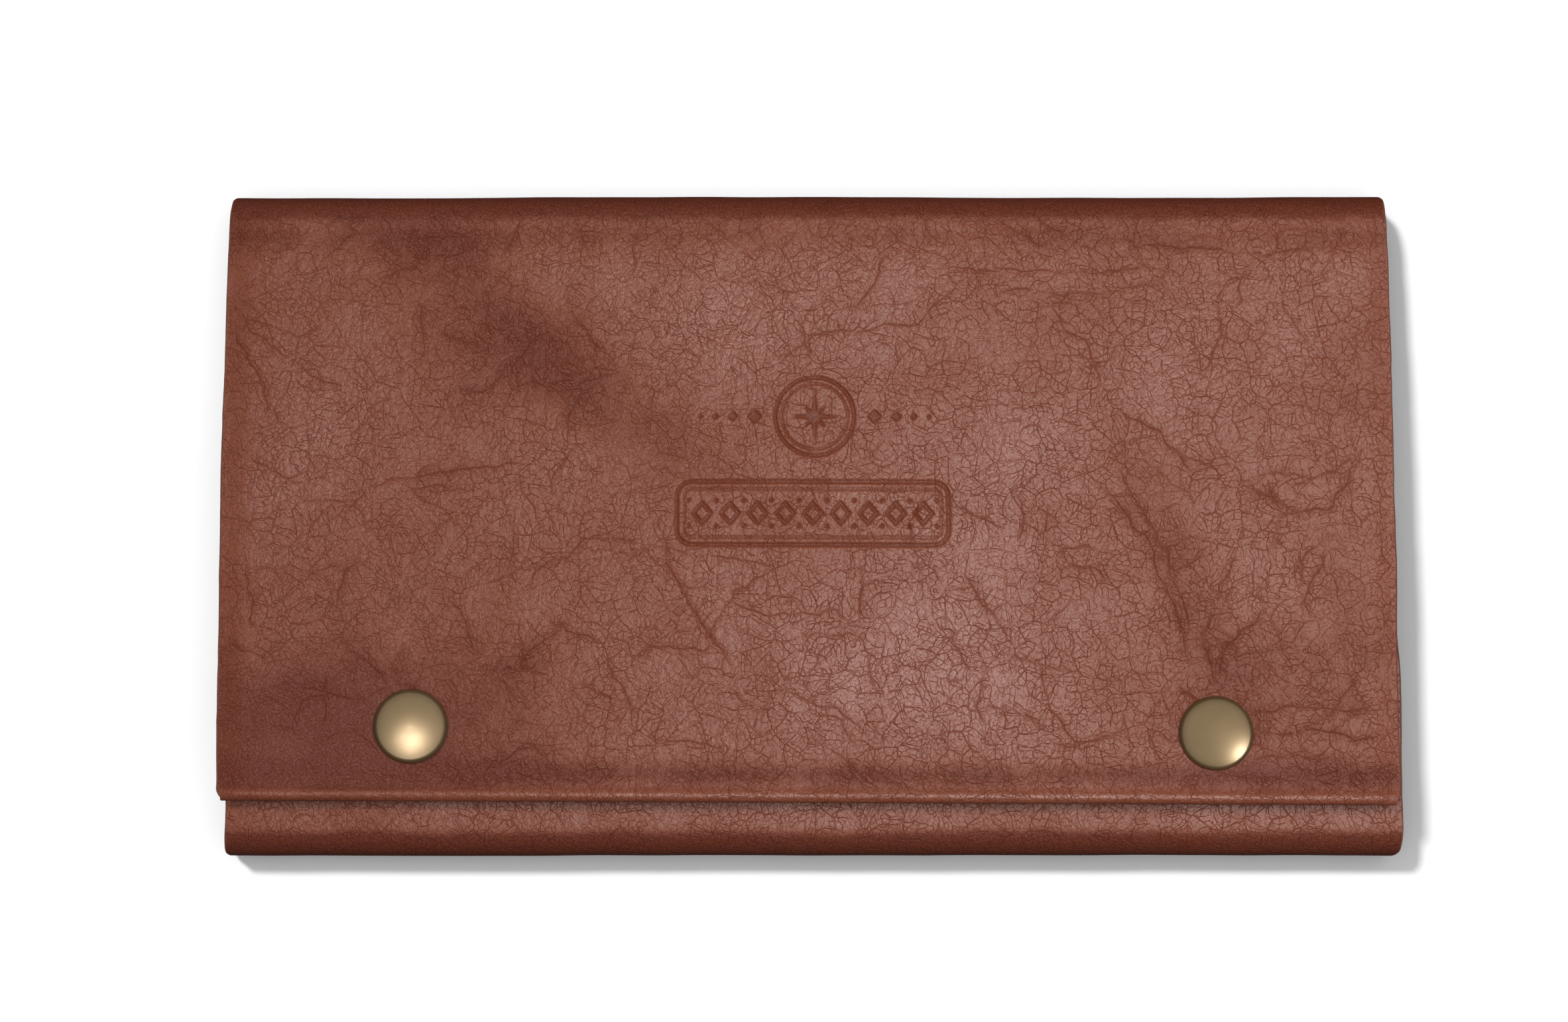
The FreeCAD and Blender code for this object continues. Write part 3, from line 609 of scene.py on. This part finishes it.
class Nodes:
    """A short way to build a material's node tree."""

    def __init__(self, name):
        self.material = bpy.data.materials.new(name)
        self.material.use_nodes = True
        self.tree = self.material.node_tree
        self.shader = next(n for n in self.tree.nodes if n.type == "BSDF_PRINCIPLED")

    def add(self, kind, inputs=(), **settings):
        node = self.tree.nodes.new(kind)
        for key, value in settings.items():
            setattr(node, key, value)
        for key, value in dict(inputs).items():
            self.feed(node.inputs[key], value)
        return node

    def feed(self, socket, value):
        if isinstance(value, bpy.types.NodeSocket):
            self.tree.links.new(value, socket)
        else:
            socket.default_value = value

    def math(self, operation, *values, clamp=False):
        inputs = dict(enumerate(values))
        return self.add("ShaderNodeMath", inputs, operation=operation, use_clamp=clamp).outputs[0]

    def times(self, a, b, clamp=False):
        return self.math("MULTIPLY", a, b, clamp=clamp)

    def plus(self, a, b):
        return self.math("ADD", a, b)

    def minus(self, a, b, clamp=False):
        return self.math("SUBTRACT", a, b, clamp=clamp)

    def vector(self, operation, *values):
        return self.add("ShaderNodeVectorMath", dict(enumerate(values)), operation=operation).outputs[0]

    def fit(self, value, from_low, from_high, to_low=0.0, to_high=1.0):
        node = self.add("ShaderNodeMapRange", interpolation_type="SMOOTHSTEP")
        for socket, v in zip(node.inputs, (value, from_low, from_high, to_low, to_high)):
            self.feed(socket, v)
        return node.outputs[0]

    def noise(self, where, size, detail=2.0, flat=True):
        inputs = {"Vector": where, "Scale": 1.0 / size, "Detail": detail}
        return self.add("ShaderNodeTexNoise", inputs, noise_dimensions="2D" if flat else "3D").outputs

    def cells(self, where, size, feature="F1", flat=True):
        inputs = {"Vector": where, "Scale": 1.0 / size}
        dimensions = "2D" if flat else "3D"
        node = self.add("ShaderNodeTexVoronoi", inputs, feature=feature, voronoi_dimensions=dimensions)
        return node.outputs["Distance"]

    def scaled(self, where, factor):
        node = self.add("ShaderNodeVectorMath", operation="SCALE")
        self.feed(node.inputs[0], where)
        self.feed(node.inputs["Scale"], factor)
        return node.outputs[0]

    def warped(self, where, size, amount, detail=1.0):
        shift = self.vector("SUBTRACT", self.noise(where, size, detail)["Color"], (0.5, 0.5, 0.5))
        return self.vector("ADD", where, self.scaled(shift, amount))

    def mix(self, factor, a, b):
        node = self.add("ShaderNodeMix", data_type="RGBA", blend_type="MIX")
        self.feed(node.inputs["Factor"], factor)
        self.feed(node.inputs["A"], a)
        self.feed(node.inputs["B"], b)
        return node.outputs["Result"]

    def attribute(self, name):
        return self.add("ShaderNodeAttribute", attribute_name=name)

    def bump(self, height):
        inputs = {"Height": height, "Distance": MM, "Strength": 1.0}
        return self.add("ShaderNodeBump", inputs).outputs["Normal"]

    def set(self, **values):
        for key, value in values.items():
            self.feed(self.shader.inputs[key.replace("_", " ")], value)
        return self.material


def rgb(r, g, b):
    """A colour as it shows on screen, from 0 to 255, made linear."""
    linear = [(c / 255 / 12.92 if c <= 10 else ((c / 255 + 0.055) / 1.055) ** 2.4) for c in (r, g, b)]
    return (*linear, 1.0)


def hide_leather(name, pale_and_sheen, plain, deep, line):
    """Soft pebbled leather: small cells parted by fine lines, and longer wrinkles that come and go. Its
    colour pales as painted sheen, or deepens as deeper dye and painted shade, where the hide's light map
    says; the lines and pores are darker and more saturated, the creases darker still as painted shade, and
    small light spots on the cells are painted glints."""
    n = Nodes(name)
    where = n.attribute("hide").outputs["Vector"]
    press, tone_and_painted_light, calm = n.add("ShaderNodeSeparateXYZ", {0: n.attribute("finish_and_painted_light").outputs["Vector"]}).outputs
    gap, force, _ = n.add("ShaderNodeSeparateXYZ", {0: n.attribute("crease").outputs["Vector"]}).outputs
    bent = n.warped(n.warped(where, 9.0, 4.0), 1.9, 0.5)
    patch = n.noise(where, 11.0, 3.0)["Fac"]
    broken = n.noise(where, 2.8, 2.0)["Fac"]

    def contour(size, width):
        """Thin curved lines, where a noise crosses its middle."""
        off = n.math("ABSOLUTE", n.minus(n.noise(bent, size, 2.0)["Fac"], 0.5))
        return n.fit(off, 0.0, width, 1.0, 0.0)

    pebble, web = 1.3, 3.6
    cell = n.fit(n.cells(bent, pebble, "DISTANCE_TO_EDGE"), 0.0, 0.08, 1.0, 0.0)
    large = n.fit(n.cells(bent, web, "DISTANCE_TO_EDGE"), 0.0, 0.036, 1.0, 0.0)
    ridge = n.math("MAXIMUM", contour(4.4, 0.015), n.times(contour(2.3, 0.02), 0.4))
    turn = {"Vector": bent, "Angle": -0.75}
    turned = n.add("ShaderNodeVectorRotate", turn, rotation_type="Z_AXIS").outputs[0]
    streak = n.noise(n.vector("MULTIPLY", turned, (0.22, 1.0, 1.0)), 1.5, 1.0)["Fac"]
    streak = n.fit(n.math("ABSOLUTE", n.minus(streak, 0.5)), 0.0, 0.05, 1.0, 0.0)
    crease_and_shade = n.times(n.fit(n.math("ABSOLUTE", gap), 0.04, 0.26, 1.0, 0.0), n.fit(force, 0.0, 0.9))
    cell = n.times(cell, n.fit(broken, 0.40, 0.66, 0.12, 0.8))
    large = n.times(large, n.fit(broken, 0.30, 0.5))
    ridge = n.times(ridge, n.fit(broken, 0.60, 0.42, 0.1, 1.0))
    on_dark = n.times(n.fit(tone_and_painted_light, 0.0, 0.7, 0.0, 0.9), n.fit(broken, 0.35, 0.6))
    streak = n.times(streak, on_dark)
    lines = n.math("MAXIMUM", n.math("MAXIMUM", cell, streak), n.math("MAXIMUM", large, ridge))
    lines = n.times(lines, n.fit(patch, 0.30, 0.52, 0.55, 1.0))
    quiet = n.plus(n.times(press, 0.7), n.times(calm, 0.6))
    lines = n.times(lines, n.minus(1.0, quiet, clamp=True))
    lines = n.math("MAXIMUM", lines, crease_and_shade)
    grain = n.noise(where, 0.42, 2.0)["Fac"]
    glint_spot, pore = n.fit(grain, 0.48, 0.70), n.fit(grain, 0.44, 0.28)
    height = n.plus(n.times(lines, -0.085), n.times(grain, 0.06))
    height = n.plus(height, n.times(n.cells(bent, pebble), -0.07))
    tone_and_painted_light = n.plus(tone_and_painted_light, n.times(n.minus(patch, 0.5), 0.5))
    # painted sheen: the colour pales where the hide's light map is low, besides paler dye at random
    colour = n.mix(n.fit(tone_and_painted_light, -0.8, 0.15), pale_and_sheen, plain)
    # deeper dye and painted shade: the colour deepens where the hide's light map is high
    colour = n.mix(n.fit(tone_and_painted_light, 0.1, 1.0), colour, deep)
    # painted glints: small light spots on the grain
    colour = n.mix(n.times(glint_spot, 0.25), colour, GLINT_PAINT)
    colour = n.mix(n.times(pore, 0.30), colour, line)
    # the creases' lines are darkened further: painted shade
    line_and_crease_shade = n.plus(0.42, n.times(crease_and_shade, 0.15))
    colour = n.mix(n.times(lines, line_and_crease_shade), colour, line)
    colour = n.mix(n.times(press, 0.6), colour, line)
    glints = n.times(n.minus(glint_spot, pore), 0.26)
    shine = n.plus(n.times(lines, -0.20), glints)
    held = n.minus(n.fit(tone_and_painted_light, -0.9, 1.1, 0.98, 0.46), n.times(press, 0.35))
    shine = n.times(n.plus(shine, 0.78), held, clamp=True)
    rough = n.plus(n.fit(tone_and_painted_light, -0.9, 1.0, 0.42, 0.60), n.times(lines, 0.1))
    # the socket keeps a plain level under its link, for readers that drop the link
    n.set(Specular_IOR_Level=0.6)
    n.set(Specular_IOR_Level=shine)
    return n.set(Base_Color=colour, Roughness=rough, Normal=n.bump(height))


def plain_leather(name, plain, deep, size=0.7, depth=0.03, roughness=0.6):
    """Smoother, finer leather for pockets, linings and cut edges."""
    n = Nodes(name)
    where = n.attribute("hide").outputs["Vector"]
    pebble = n.cells(n.warped(where, 3.0, 1.2), size, "F1", False)
    scuff = n.noise(where, 34.0, 5.0)["Fac"]
    fibre = n.noise(where, size * 0.6, 3.0, False)["Fac"]
    height = n.plus(n.times(pebble, -depth), n.times(fibre, depth * 0.6))
    colour = n.mix(n.fit(scuff, 0.25, 0.75, 0.0, 0.55), plain, deep)
    colour = n.mix(n.times(n.fit(fibre, 0.35, 0.7), 0.4), colour, deep)
    rough = n.fit(scuff, 0.3, 0.7, roughness - 0.05, roughness + 0.06)
    return n.set(Base_Color=colour, Roughness=rough, Normal=n.bump(height))


def metal(name, bright, dark, roughness, node=None):
    """Aged satin metal, clouded with patina. On a round node the rim is painted darker, as shade where it
    turns down.
    """
    n = Nodes(name)
    where = n.scaled(n.add("ShaderNodeTexCoord").outputs["Object"], 1 / MM)
    cloud = n.noise(where, 2.4, 4.0, False)["Fac"]
    fine = n.noise(where, 0.25, 2.0, False)["Fac"]
    colour = n.mix(n.fit(cloud, 0.3, 0.8, 0.0, 0.12), bright, dark)
    colour = n.mix(n.times(n.fit(fine, 0.5, 0.75), 0.12), colour, dark)
    rough = n.fit(cloud, 0.3, 0.7, roughness - 0.01, roughness + 0.02)
    if node:
        centre, radius = (low(node) + high(node)) / 2, (high(node)[0] - low(node)[0]) / 2
        apart = n.vector("MULTIPLY", n.vector("SUBTRACT", where, tuple(centre)), (1.0, 1.0, 0.0))
        out = n.add("ShaderNodeVectorMath", {0: apart}, operation="LENGTH").outputs["Value"]
        # painted shade: darker towards the rim
        colour = n.mix(n.fit(out, radius * 0.72, radius * 0.98, 0.0, 0.6), colour, dark)
    n.set(Metallic=0.7, Coat_Weight=0.8, Coat_Roughness=0.3)
    return n.set(Base_Color=colour, Roughness=rough, Normal=n.bump(n.times(fine, 0.003)))


# The hide's colours, linear: its dye; a paler one that is partly painted sheen; a deeper one that is partly
# painted shade; a line colour, also painted shade along the creases; and a light one that paints glints.
PALE_DYE_AND_SHEEN = (0.168, 0.043, 0.0185, 1)
PLAIN_DYE = (0.150, 0.034, 0.013, 1)
DEEP_DYE_AND_SHADE = (0.090, 0.0150, 0.0048, 1)
LINE_DYE_AND_SHADE = (0.078, 0.0135, 0.005, 1)
GLINT_PAINT = (0.21, 0.060, 0.026, 1)

HIDE = hide_leather("hide_leather", PALE_DYE_AND_SHEEN, PLAIN_DYE, DEEP_DYE_AND_SHADE, LINE_DYE_AND_SHADE)
EDGE = plain_leather("cut_edge", rgb(112, 66, 50), rgb(84, 42, 30), 0.35, 0.05, 0.75)
FLESH = plain_leather("flesh_side", rgb(120, 80, 62), rgb(98, 62, 48), 0.4, 0.04, 0.85)
SUEDE = plain_leather("lining_suede", rgb(98, 60, 44), rgb(80, 46, 34), 0.45, 0.03, 0.85)
POCKET = plain_leather("pocket_leather", rgb(104, 48, 32), rgb(82, 34, 22), 0.8, 0.035, 0.5)
PAINT = plain_leather("painted_edge", rgb(62, 28, 20), rgb(46, 20, 14), 0.5, 0.02, 0.4)
THREAD = plain_leather("waxed_thread", rgb(196, 160, 118), rgb(158, 120, 84), 0.25, 0.03, 0.55)
DULL_BRASS = metal("dull_brass", rgb(150, 126, 86), rgb(96, 76, 46), 0.4)
STEEL = metal("spring_steel", rgb(190, 188, 184), rgb(140, 138, 134), 0.3)


# --- Pieces ---


def build_hide():
    wide, thin = HALF_WIDTH - HIDE_SIDE, LINING_HALF - THIN_SIDE
    hem_end = FLAP_START + FLAP_LENGTH - HEM_ROLL
    hem_s = hem_end + HEM_ROLL * math.pi + HEM_LENGTH
    lining_end = hem_end - HEM_LENGTH
    fold_dense = (QUARTER, FLAP_START, FOLD_STEP)
    front_dense = (-FRONT_START, -QUARTER)
    dense = [(FLAP_START + FLAT - 30.0, FLAP_START + FLAT + 6.0, ORNAMENT_STEP), fold_dense]
    dense.append((hem_end - 2, hem_end + 4, 0.3))
    body_x = spaced(-wide, wide, WIDE_STEP)
    back_s = []
    for side in (1, -1):
        lo, hi = sorted((side * FLAT, side * QUARTER))
        back_s.append(spaced(0.0, side * QUARTER, 2.2, [(lo, hi, FOLD_STEP)]))
    thin_x = spaced(-thin, thin, WIDE_STEP)
    lining_s = spaced(QUARTER, lining_end, LINING_STEP, [(QUARTER, FLAP_START, LINING_FOLD_STEP)])
    lining_front_s = spaced(-QUARTER, -FRONT_END, LINING_STEP, [(*front_dense, LINING_FOLD_STEP)])
    grids = {
        "flap_hide": (
            spaced(-wide, wide, FLAP_STEP, [(-27.5, 29.5, ORNAMENT_STEP)]),
            spaced(QUARTER, hem_s, FLAP_STEP, dense),
        ),
        "front_hide": (
            spaced(-wide, wide, 0.9),
            spaced(-QUARTER, -FRONT_END, 0.8, [(*front_dense, FOLD_STEP)]),
        ),
        "back_hide_top": (body_x, back_s[0]),
        "back_hide_bottom": (body_x, back_s[1]),
        "flap_lining_skin": (thin_x, lining_s),
        "front_lining_skin": (thin_x, lining_front_s),
        "back_lining_top": (thin_x, back_s[0]),
        "back_lining_bottom": (thin_x, back_s[1]),
    }
    looks = ([HIDE, EDGE, FLESH], [SUEDE, SUEDE, SUEDE])
    made = {}
    for name, (xs, ss) in grids.items():
        layer = int("lining" in name)
        made[name] = hide_sheet(name, xs, ss, looks[layer], (True, name.startswith("back")), layer)
    layers = {
        0: ("flap_hide", "front_hide", "back_hide_top", "back_hide_bottom"),
        1: ("flap_lining_skin", "front_lining_skin", "back_lining_top", "back_lining_bottom"),
    }
    parts = {0: "cover", 1: "lining"}
    for layer, (flap, front, top, bottom) in layers.items():
        part = parts[layer]
        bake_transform(made[flap])
        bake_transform(made[front])
        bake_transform(made[top])
        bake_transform(made[bottom])
        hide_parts(f"flap_{part}")
        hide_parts(f"front_{part}")
        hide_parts(f"back_{part}", f"top_fold_{part}")
        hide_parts(f"back_{part}", f"bottom_fold_{part}")


def build_metal():
    for name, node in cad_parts.items():
        if not name.startswith("snap_"):
            continue
        if "cap" in name:
            material = metal(f"antique_brass_{name[9:]}", rgb(140, 116, 80), rgb(92, 72, 44), 0.33, name)
        else:
            material = STEEL if "spring" in name else DULL_BRASS
        node.data.materials.clear()
        node.data.materials.append(material)


def panel(name, node, faces_up=True, notch=0.0, mouth_at_top=True, lift=0.0):
    """A pocket's panel: a leather slab with painted edges, a line creased round it, and a thumb notch
    in its mouth. lift is how far its mouth stands away."""
    (x0, y0, z0), (x1, y1, z1) = low(node), high(node)
    half, middle, thick = (x1 - x0) / 2, (x0 + x1) / 2, z1 - z0
    step, fine, border = 1.8, 0.35, 3
    edge_step = [(-half, -half + border, fine), (half - border, half, fine)]
    notched = [(-notch - 0.6, notch + 0.6, 0.45)] if notch else []
    xs = spaced(-half + THIN_SIDE, half - THIN_SIDE, step, edge_step + notched)
    ts = spaced(y0 + THIN_SIDE, y1 - THIN_SIDE, step, [(y0, y0 + border, fine), (y1 - border, y1, fine)])
    T, X = np.meshgrid((ts - ts[0]) / (ts[-1] - ts[0]), xs, indexing="ij")
    top = ts[-1] - np.sqrt(np.maximum(notch**2 - X**2, 0.0))
    Y = ts[0] + (top - ts[0]) * T
    mouth = T if mouth_at_top else 1 - T
    gap = np.minimum(half - np.abs(X), np.minimum(Y - ts[0], np.where(np.abs(X) < notch, 99.0, ts[-1] - Y)))
    if notch:
        gap = np.minimum(gap, np.hypot(X, Y - ts[-1]) - notch)
    side = 1 if faces_up else -1
    crease = 0.13 * np.exp(-(((gap - 1.5) / 0.32) ** 2))
    swell = 0.05 * clouds(X, Y, 9.0, 151) * smooth(gap / 4.0) + 0.02 * clouds(X, Y, 2.6, 157)
    raised = side * lift * smooth((mouth - 0.7) / 0.3) * smooth((half - np.abs(X)) / 16.0)
    face = (z1 if faces_up else z0) + side * (swell - crease - 0.05) + raised
    back = (z0 if faces_up else z1) + side * 0.02 + raised
    outer = np.stack([X + middle, Y, face], -1)
    inner = np.stack([X + middle, Y, back], -1)
    coords = np.stack([X + 400.0, Y + z1 * 37.0, np.zeros(X.shape)], -1)
    rounding = np.full(X.shape, 0.42 * thick)
    made = sheet_mesh(name, outer, inner, coords, [POCKET, PAINT, FLESH], rounding, None, 4)
    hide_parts(node)
    return made


def bellows(name, node, inward):
    """A gusset folded like a bellows, between the lining and the pocket's panel. inward is the
    direction of its fold."""
    (x0, y0, z0), (x1, y1, z1) = low(node), high(node)
    along_x = x1 - x0 > y1 - y0
    length = (x1 - x0 if along_x else y1 - y0) - 0.4
    place_, t = np.meshgrid(spaced(-length / 2, length / 2, 1.5), np.linspace(0, 1, 25), indexing="ij")
    fold = 5.2 * np.sin(np.pi * t) ** 1.25 + 0.25 * clouds(place_, t * 6, 13.0, 163) * np.sin(np.pi * t)
    height = z0 + 0.1 + (z1 - z0 - 0.2) * t
    middle = np.array([(x0 + x1) / 2, (y0 + y1) / 2, 0.0])
    run = np.array([1.0, 0, 0]) if along_x else np.array([0, 1.0, 0])
    inward = np.array(inward, float)
    spine = middle + run * place_[..., None] + inward * (fold - 0.05)[..., None]
    spine[..., 2] = height
    n = grid_normals(spine)
    n *= np.sign((n * -inward).sum(-1).mean())
    outer, inner = spine + n * 0.38, spine - n * 0.38
    for grid in (outer, inner):
        grid[..., 2] = np.clip(grid[..., 2], z0 + 0.03, z1 - 0.03)
    coords = np.stack([place_ + 700.0, t * 11.0, np.zeros(t.shape)], -1)
    rounding = np.full(t.shape, 0.25)
    made = sheet_mesh(name, outer, inner, coords, [POCKET, PAINT, FLESH], rounding, None, 3)
    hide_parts(node)
    return made


def stitches(name, node, rows, up):
    """Saddle stitches along rows, each a slanted, plump thread that dips into the leather at its ends."""
    pitch, length = 3.2, 2.5
    steps, sides = 7, 8
    points, faces = [], []
    for a, b in rows:
        a, b = np.array(a, float), np.array(b, float)
        line = b - a
        total = np.linalg.norm(line)
        line = line / total
        across_ = np.cross([0, 0, 1.0], line)
        count = int(total // pitch)
        lead = (total - count * pitch) / 2
        for i in range(count):
            middle = a + line * (lead + (i + 0.5) * pitch)
            base = len(points) * steps * sides
            t = np.linspace(-1, 1, steps)
            radius = 0.08 + 0.24 * np.sqrt(np.maximum(1 - np.abs(t) ** 3.5, 0))
            rise = 0.20 - 0.34 * np.abs(t) ** 3
            spine = middle + line * (t * length / 2)[:, None] + across_ * (0.24 * t)[:, None]
            spine[:, 2] += up * rise
            turn = np.arange(sides) * 2 * math.pi / sides
            ring = across_ * np.cos(turn)[:, None] + np.array([0, 0, 1.0]) * np.sin(turn)[:, None]
            points.append((spine[:, None] + ring[None] * radius[:, None, None]).reshape(-1, 3))
            index = base + np.arange(steps * sides).reshape(steps, sides)
            turned = np.roll(index, -1, 1)
            faces.append(np.stack([index[:-1], turned[:-1], turned[1:], index[1:]], -1).reshape(-1, 4))
            faces += [index[:1, ::-1], index[-1:]]
    points = np.concatenate(points)
    made = new_mesh(name, points, faces, [THREAD], None, {"hide": points})
    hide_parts(node)
    return made


def build_pockets():
    made = {"back": [], "front": []}
    made["back"].append(panel("passport_pocket", "passport_pocket_panel", notch=11.0, lift=0.5))
    made["back"].append(panel("ticket_pocket", "ticket_pocket_panel", notch=11.0, lift=0.35))
    for side, inward in (("left", (1, 0, 0)), ("right", (-1, 0, 0)), ("bottom", (0, 1, 0))):
        made["back"].append(bellows(f"bellows_{side}", f"pocket_gusset_{side}", inward))
    for tier in ("rear", "middle", "front"):
        made["front"].append(panel(f"card_pocket_{tier}", f"card_slot_{tier}", False, 0.0, False, 0.15))
    for body, pieces in made.items():
        for piece in pieces:
            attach(piece, body)


def build_seams():
    inset = 2.5
    (x0, y0, _), (x1, y1, z1) = low("passport_pocket_panel"), high("passport_pocket_panel")
    slip_top, slip_face = high("ticket_pocket_panel")[1:]
    x0, x1, y0 = x0 + inset, x1 - inset, y0 + inset
    rows = [((x0 + 1.6, y0, slip_face), (x1 - 1.6, y0, slip_face))]
    for x in (x0, x1):
        rows.append(((x, y0, slip_face), (x, slip_top - 0.4, slip_face)))
        rows.append(((x, slip_top + 1.0, z1), (x, y1, z1)))
    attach(stitches("pocket_seam", "pocket_stitching", rows, 1), "back")
    tiers = [tuple(low(f"card_slot_{tier}")[1:]) for tier in ("rear", "middle", "front")]
    sewn = high("card_slot_front")[1] - inset
    x = high("card_slot_front")[0] - inset
    rows = [((-x + 1.6, sewn, tiers[-1][1]), (x - 1.6, sewn, tiers[-1][1]))]
    for side in (-1, 1):
        for tier, (mouth, level) in enumerate(tiers):
            end = tiers[tier + 1][0] - 1.0 if tier < 2 else sewn
            rows.append(((side * x, mouth, level), (side * x, end, level)))
    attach(stitches("card_seam", "card_stitching", rows, -1), "front")


# --- Camera, light and floor ---

AIM = (-5.0, 2.8, 6.0)
CAMERA_DISTANCE = 700.0
CAMERA_TILT = math.radians(3.8)
LENS = 78.4


def build_camera():
    data = bpy.data.cameras.new("camera")
    data.lens, data.sensor_width = LENS, 36.0
    data.clip_start, data.clip_end = 0.01, 20.0
    camera = bpy.data.objects.new("camera", data)
    bpy.context.scene.collection.objects.link(camera)
    camera.location = Vector(
        (
            AIM[0] * MM,
            (AIM[1] - CAMERA_DISTANCE * math.sin(CAMERA_TILT)) * MM,
            (AIM[2] + CAMERA_DISTANCE * math.cos(CAMERA_TILT)) * MM,
        )
    )
    camera.rotation_euler = (CAMERA_TILT, 0.0, 0.0)
    bpy.context.scene.camera = camera


def light(name, kind, location, only=(), without=()):
    """A light over the holder, aimed at its middle. It may light only some pieces, or all but some."""
    data = bpy.data.lights.new(name, kind)
    made = bpy.data.objects.new(name, data)
    bpy.context.scene.collection.objects.link(made)
    made.location = location
    made.rotation_euler = Vector(location).to_track_quat("Z", "Y").to_euler()
    group = bpy.data.collections.new(f"{name}_receivers")
    for piece in only or without:
        group.objects.link(piece)
    for entry in group.collection_objects:
        entry.light_linking.link_state = "EXCLUDE" if without else "INCLUDE"
    made.light_linking.receiver_collection = group
    return made


def shade_lamp(name, location, size, power, floor):
    """A soft square lamp for all but the surfaces' gloss."""
    made = light(name, "AREA", location, without=[floor])
    made.data.size, made.data.energy = size, power
    made.visible_glossy = False


def sheen_lamp(name, location, size, power, only=(), without=()):
    """A soft rectangular lamp for the surfaces' gloss alone."""
    made = light(name, "AREA", location, only, without)
    made.data.shape, made.data.size, made.data.size_y = "RECTANGLE", size[0], size[1]
    made.data.energy = power
    made.visible_diffuse = False


def floor_sun(name, towards, power, spread, floor):
    """Even light for the floor, on which the holder's soft shadow falls."""
    made = light(name, "SUN", towards, only=[floor])
    made.data.energy, made.data.angle = power, math.radians(spread)


def build_floor():
    n = Nodes("floor_paint")
    where = n.add("ShaderNodeTexCoord").outputs["Object"]
    paint = n.mix(n.noise(where, 0.5)["Fac"], (0.80, 0.80, 0.80, 1), (0.82, 0.82, 0.82, 1))
    n.set(Base_Color=paint, Roughness=0.9)
    reach = 8000.0
    corners = np.array([(x * reach, y * reach, -0.05) for x, y in ((-1, -1), (1, -1), (1, 1), (-1, 1))])
    floor = new_mesh("floor", corners, [[0, 1, 2, 3]], [n.material])
    floor.visible_glossy = floor.visible_diffuse = False
    return floor


def build_world(seen, scattered, mirrored):
    """A plain surround: how bright the camera sees it, and its scattered and mirrored light."""
    world = bpy.data.worlds.new("world")
    world.use_nodes = True
    tree = world.node_tree
    background = next(n for n in tree.nodes if n.type == "BACKGROUND")
    background.inputs["Color"].default_value = (1.0, 1.0, 1.0, 1.0)
    path = tree.nodes.new("ShaderNodeLightPath")
    strength = scattered
    for ray, value in (("Is Camera Ray", seen), ("Is Glossy Ray", mirrored)):
        node = tree.nodes.new("ShaderNodeMath")
        node.operation = "MULTIPLY_ADD"
        tree.links.new(path.outputs[ray], node.inputs[0])
        node.inputs[1].default_value = value - scattered
        if strength is scattered:
            node.inputs[2].default_value = scattered
        else:
            tree.links.new(strength, node.inputs[2])
        strength = node.outputs[0]
    tree.links.new(strength, background.inputs["Strength"])
    bpy.context.scene.world = world


def build_studio():
    floor = build_floor()
    caps = [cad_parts[f"snap_cap_{side}"] for side in ("left", "right")]
    shade_lamp("key", (-0.9, 0.85, 2.5), 0.36, 36.0, floor)
    shade_lamp("right_key", (0.30, 0.0, 0.70), 0.30, 3.4, floor)
    shade_lamp("fill", (0.45, -0.05, 1.6), 0.7, 8.2, floor)
    sheen_lamp("overhead", (0.24, 0.0, 1.15), (0.95, 0.60), 11.0, without=caps)
    sheen_lamp("low_back_sheen", (-0.95, 0.95, 0.62), (1.5, 0.7), 2.8, without=caps)
    sheen_lamp("low_front_sheen", (0.95, -0.95, 0.40), (1.5, 0.6), 2.0, without=caps)
    sheen_lamp("cap_glow", (0.0, 0.0, 0.9), (1.9, 1.7), 5.2, only=caps)
    sheen_lamp("left_spark", (-0.15, -0.20, 1.0), (0.38, 0.38), 5.0, only=caps[:1])
    sheen_lamp("right_spark", (0.74, -0.36, 0.9), (0.22, 0.22), 7.0, only=caps[1:])
    floor_sun("floor_key", (-0.50, 0.50, 1.0), 2.6, 8.0, floor)
    floor_sun("floor_fill", (0.0, 0.0, 1.0), 1.5, 90.0, floor)
    build_world(1.0, 0.17, 0.05)
    bpy.context.scene.view_settings.view_transform = "Standard"


build_camera()
build_studio()
build_hide()
build_metal()
build_pockets()
build_seams()
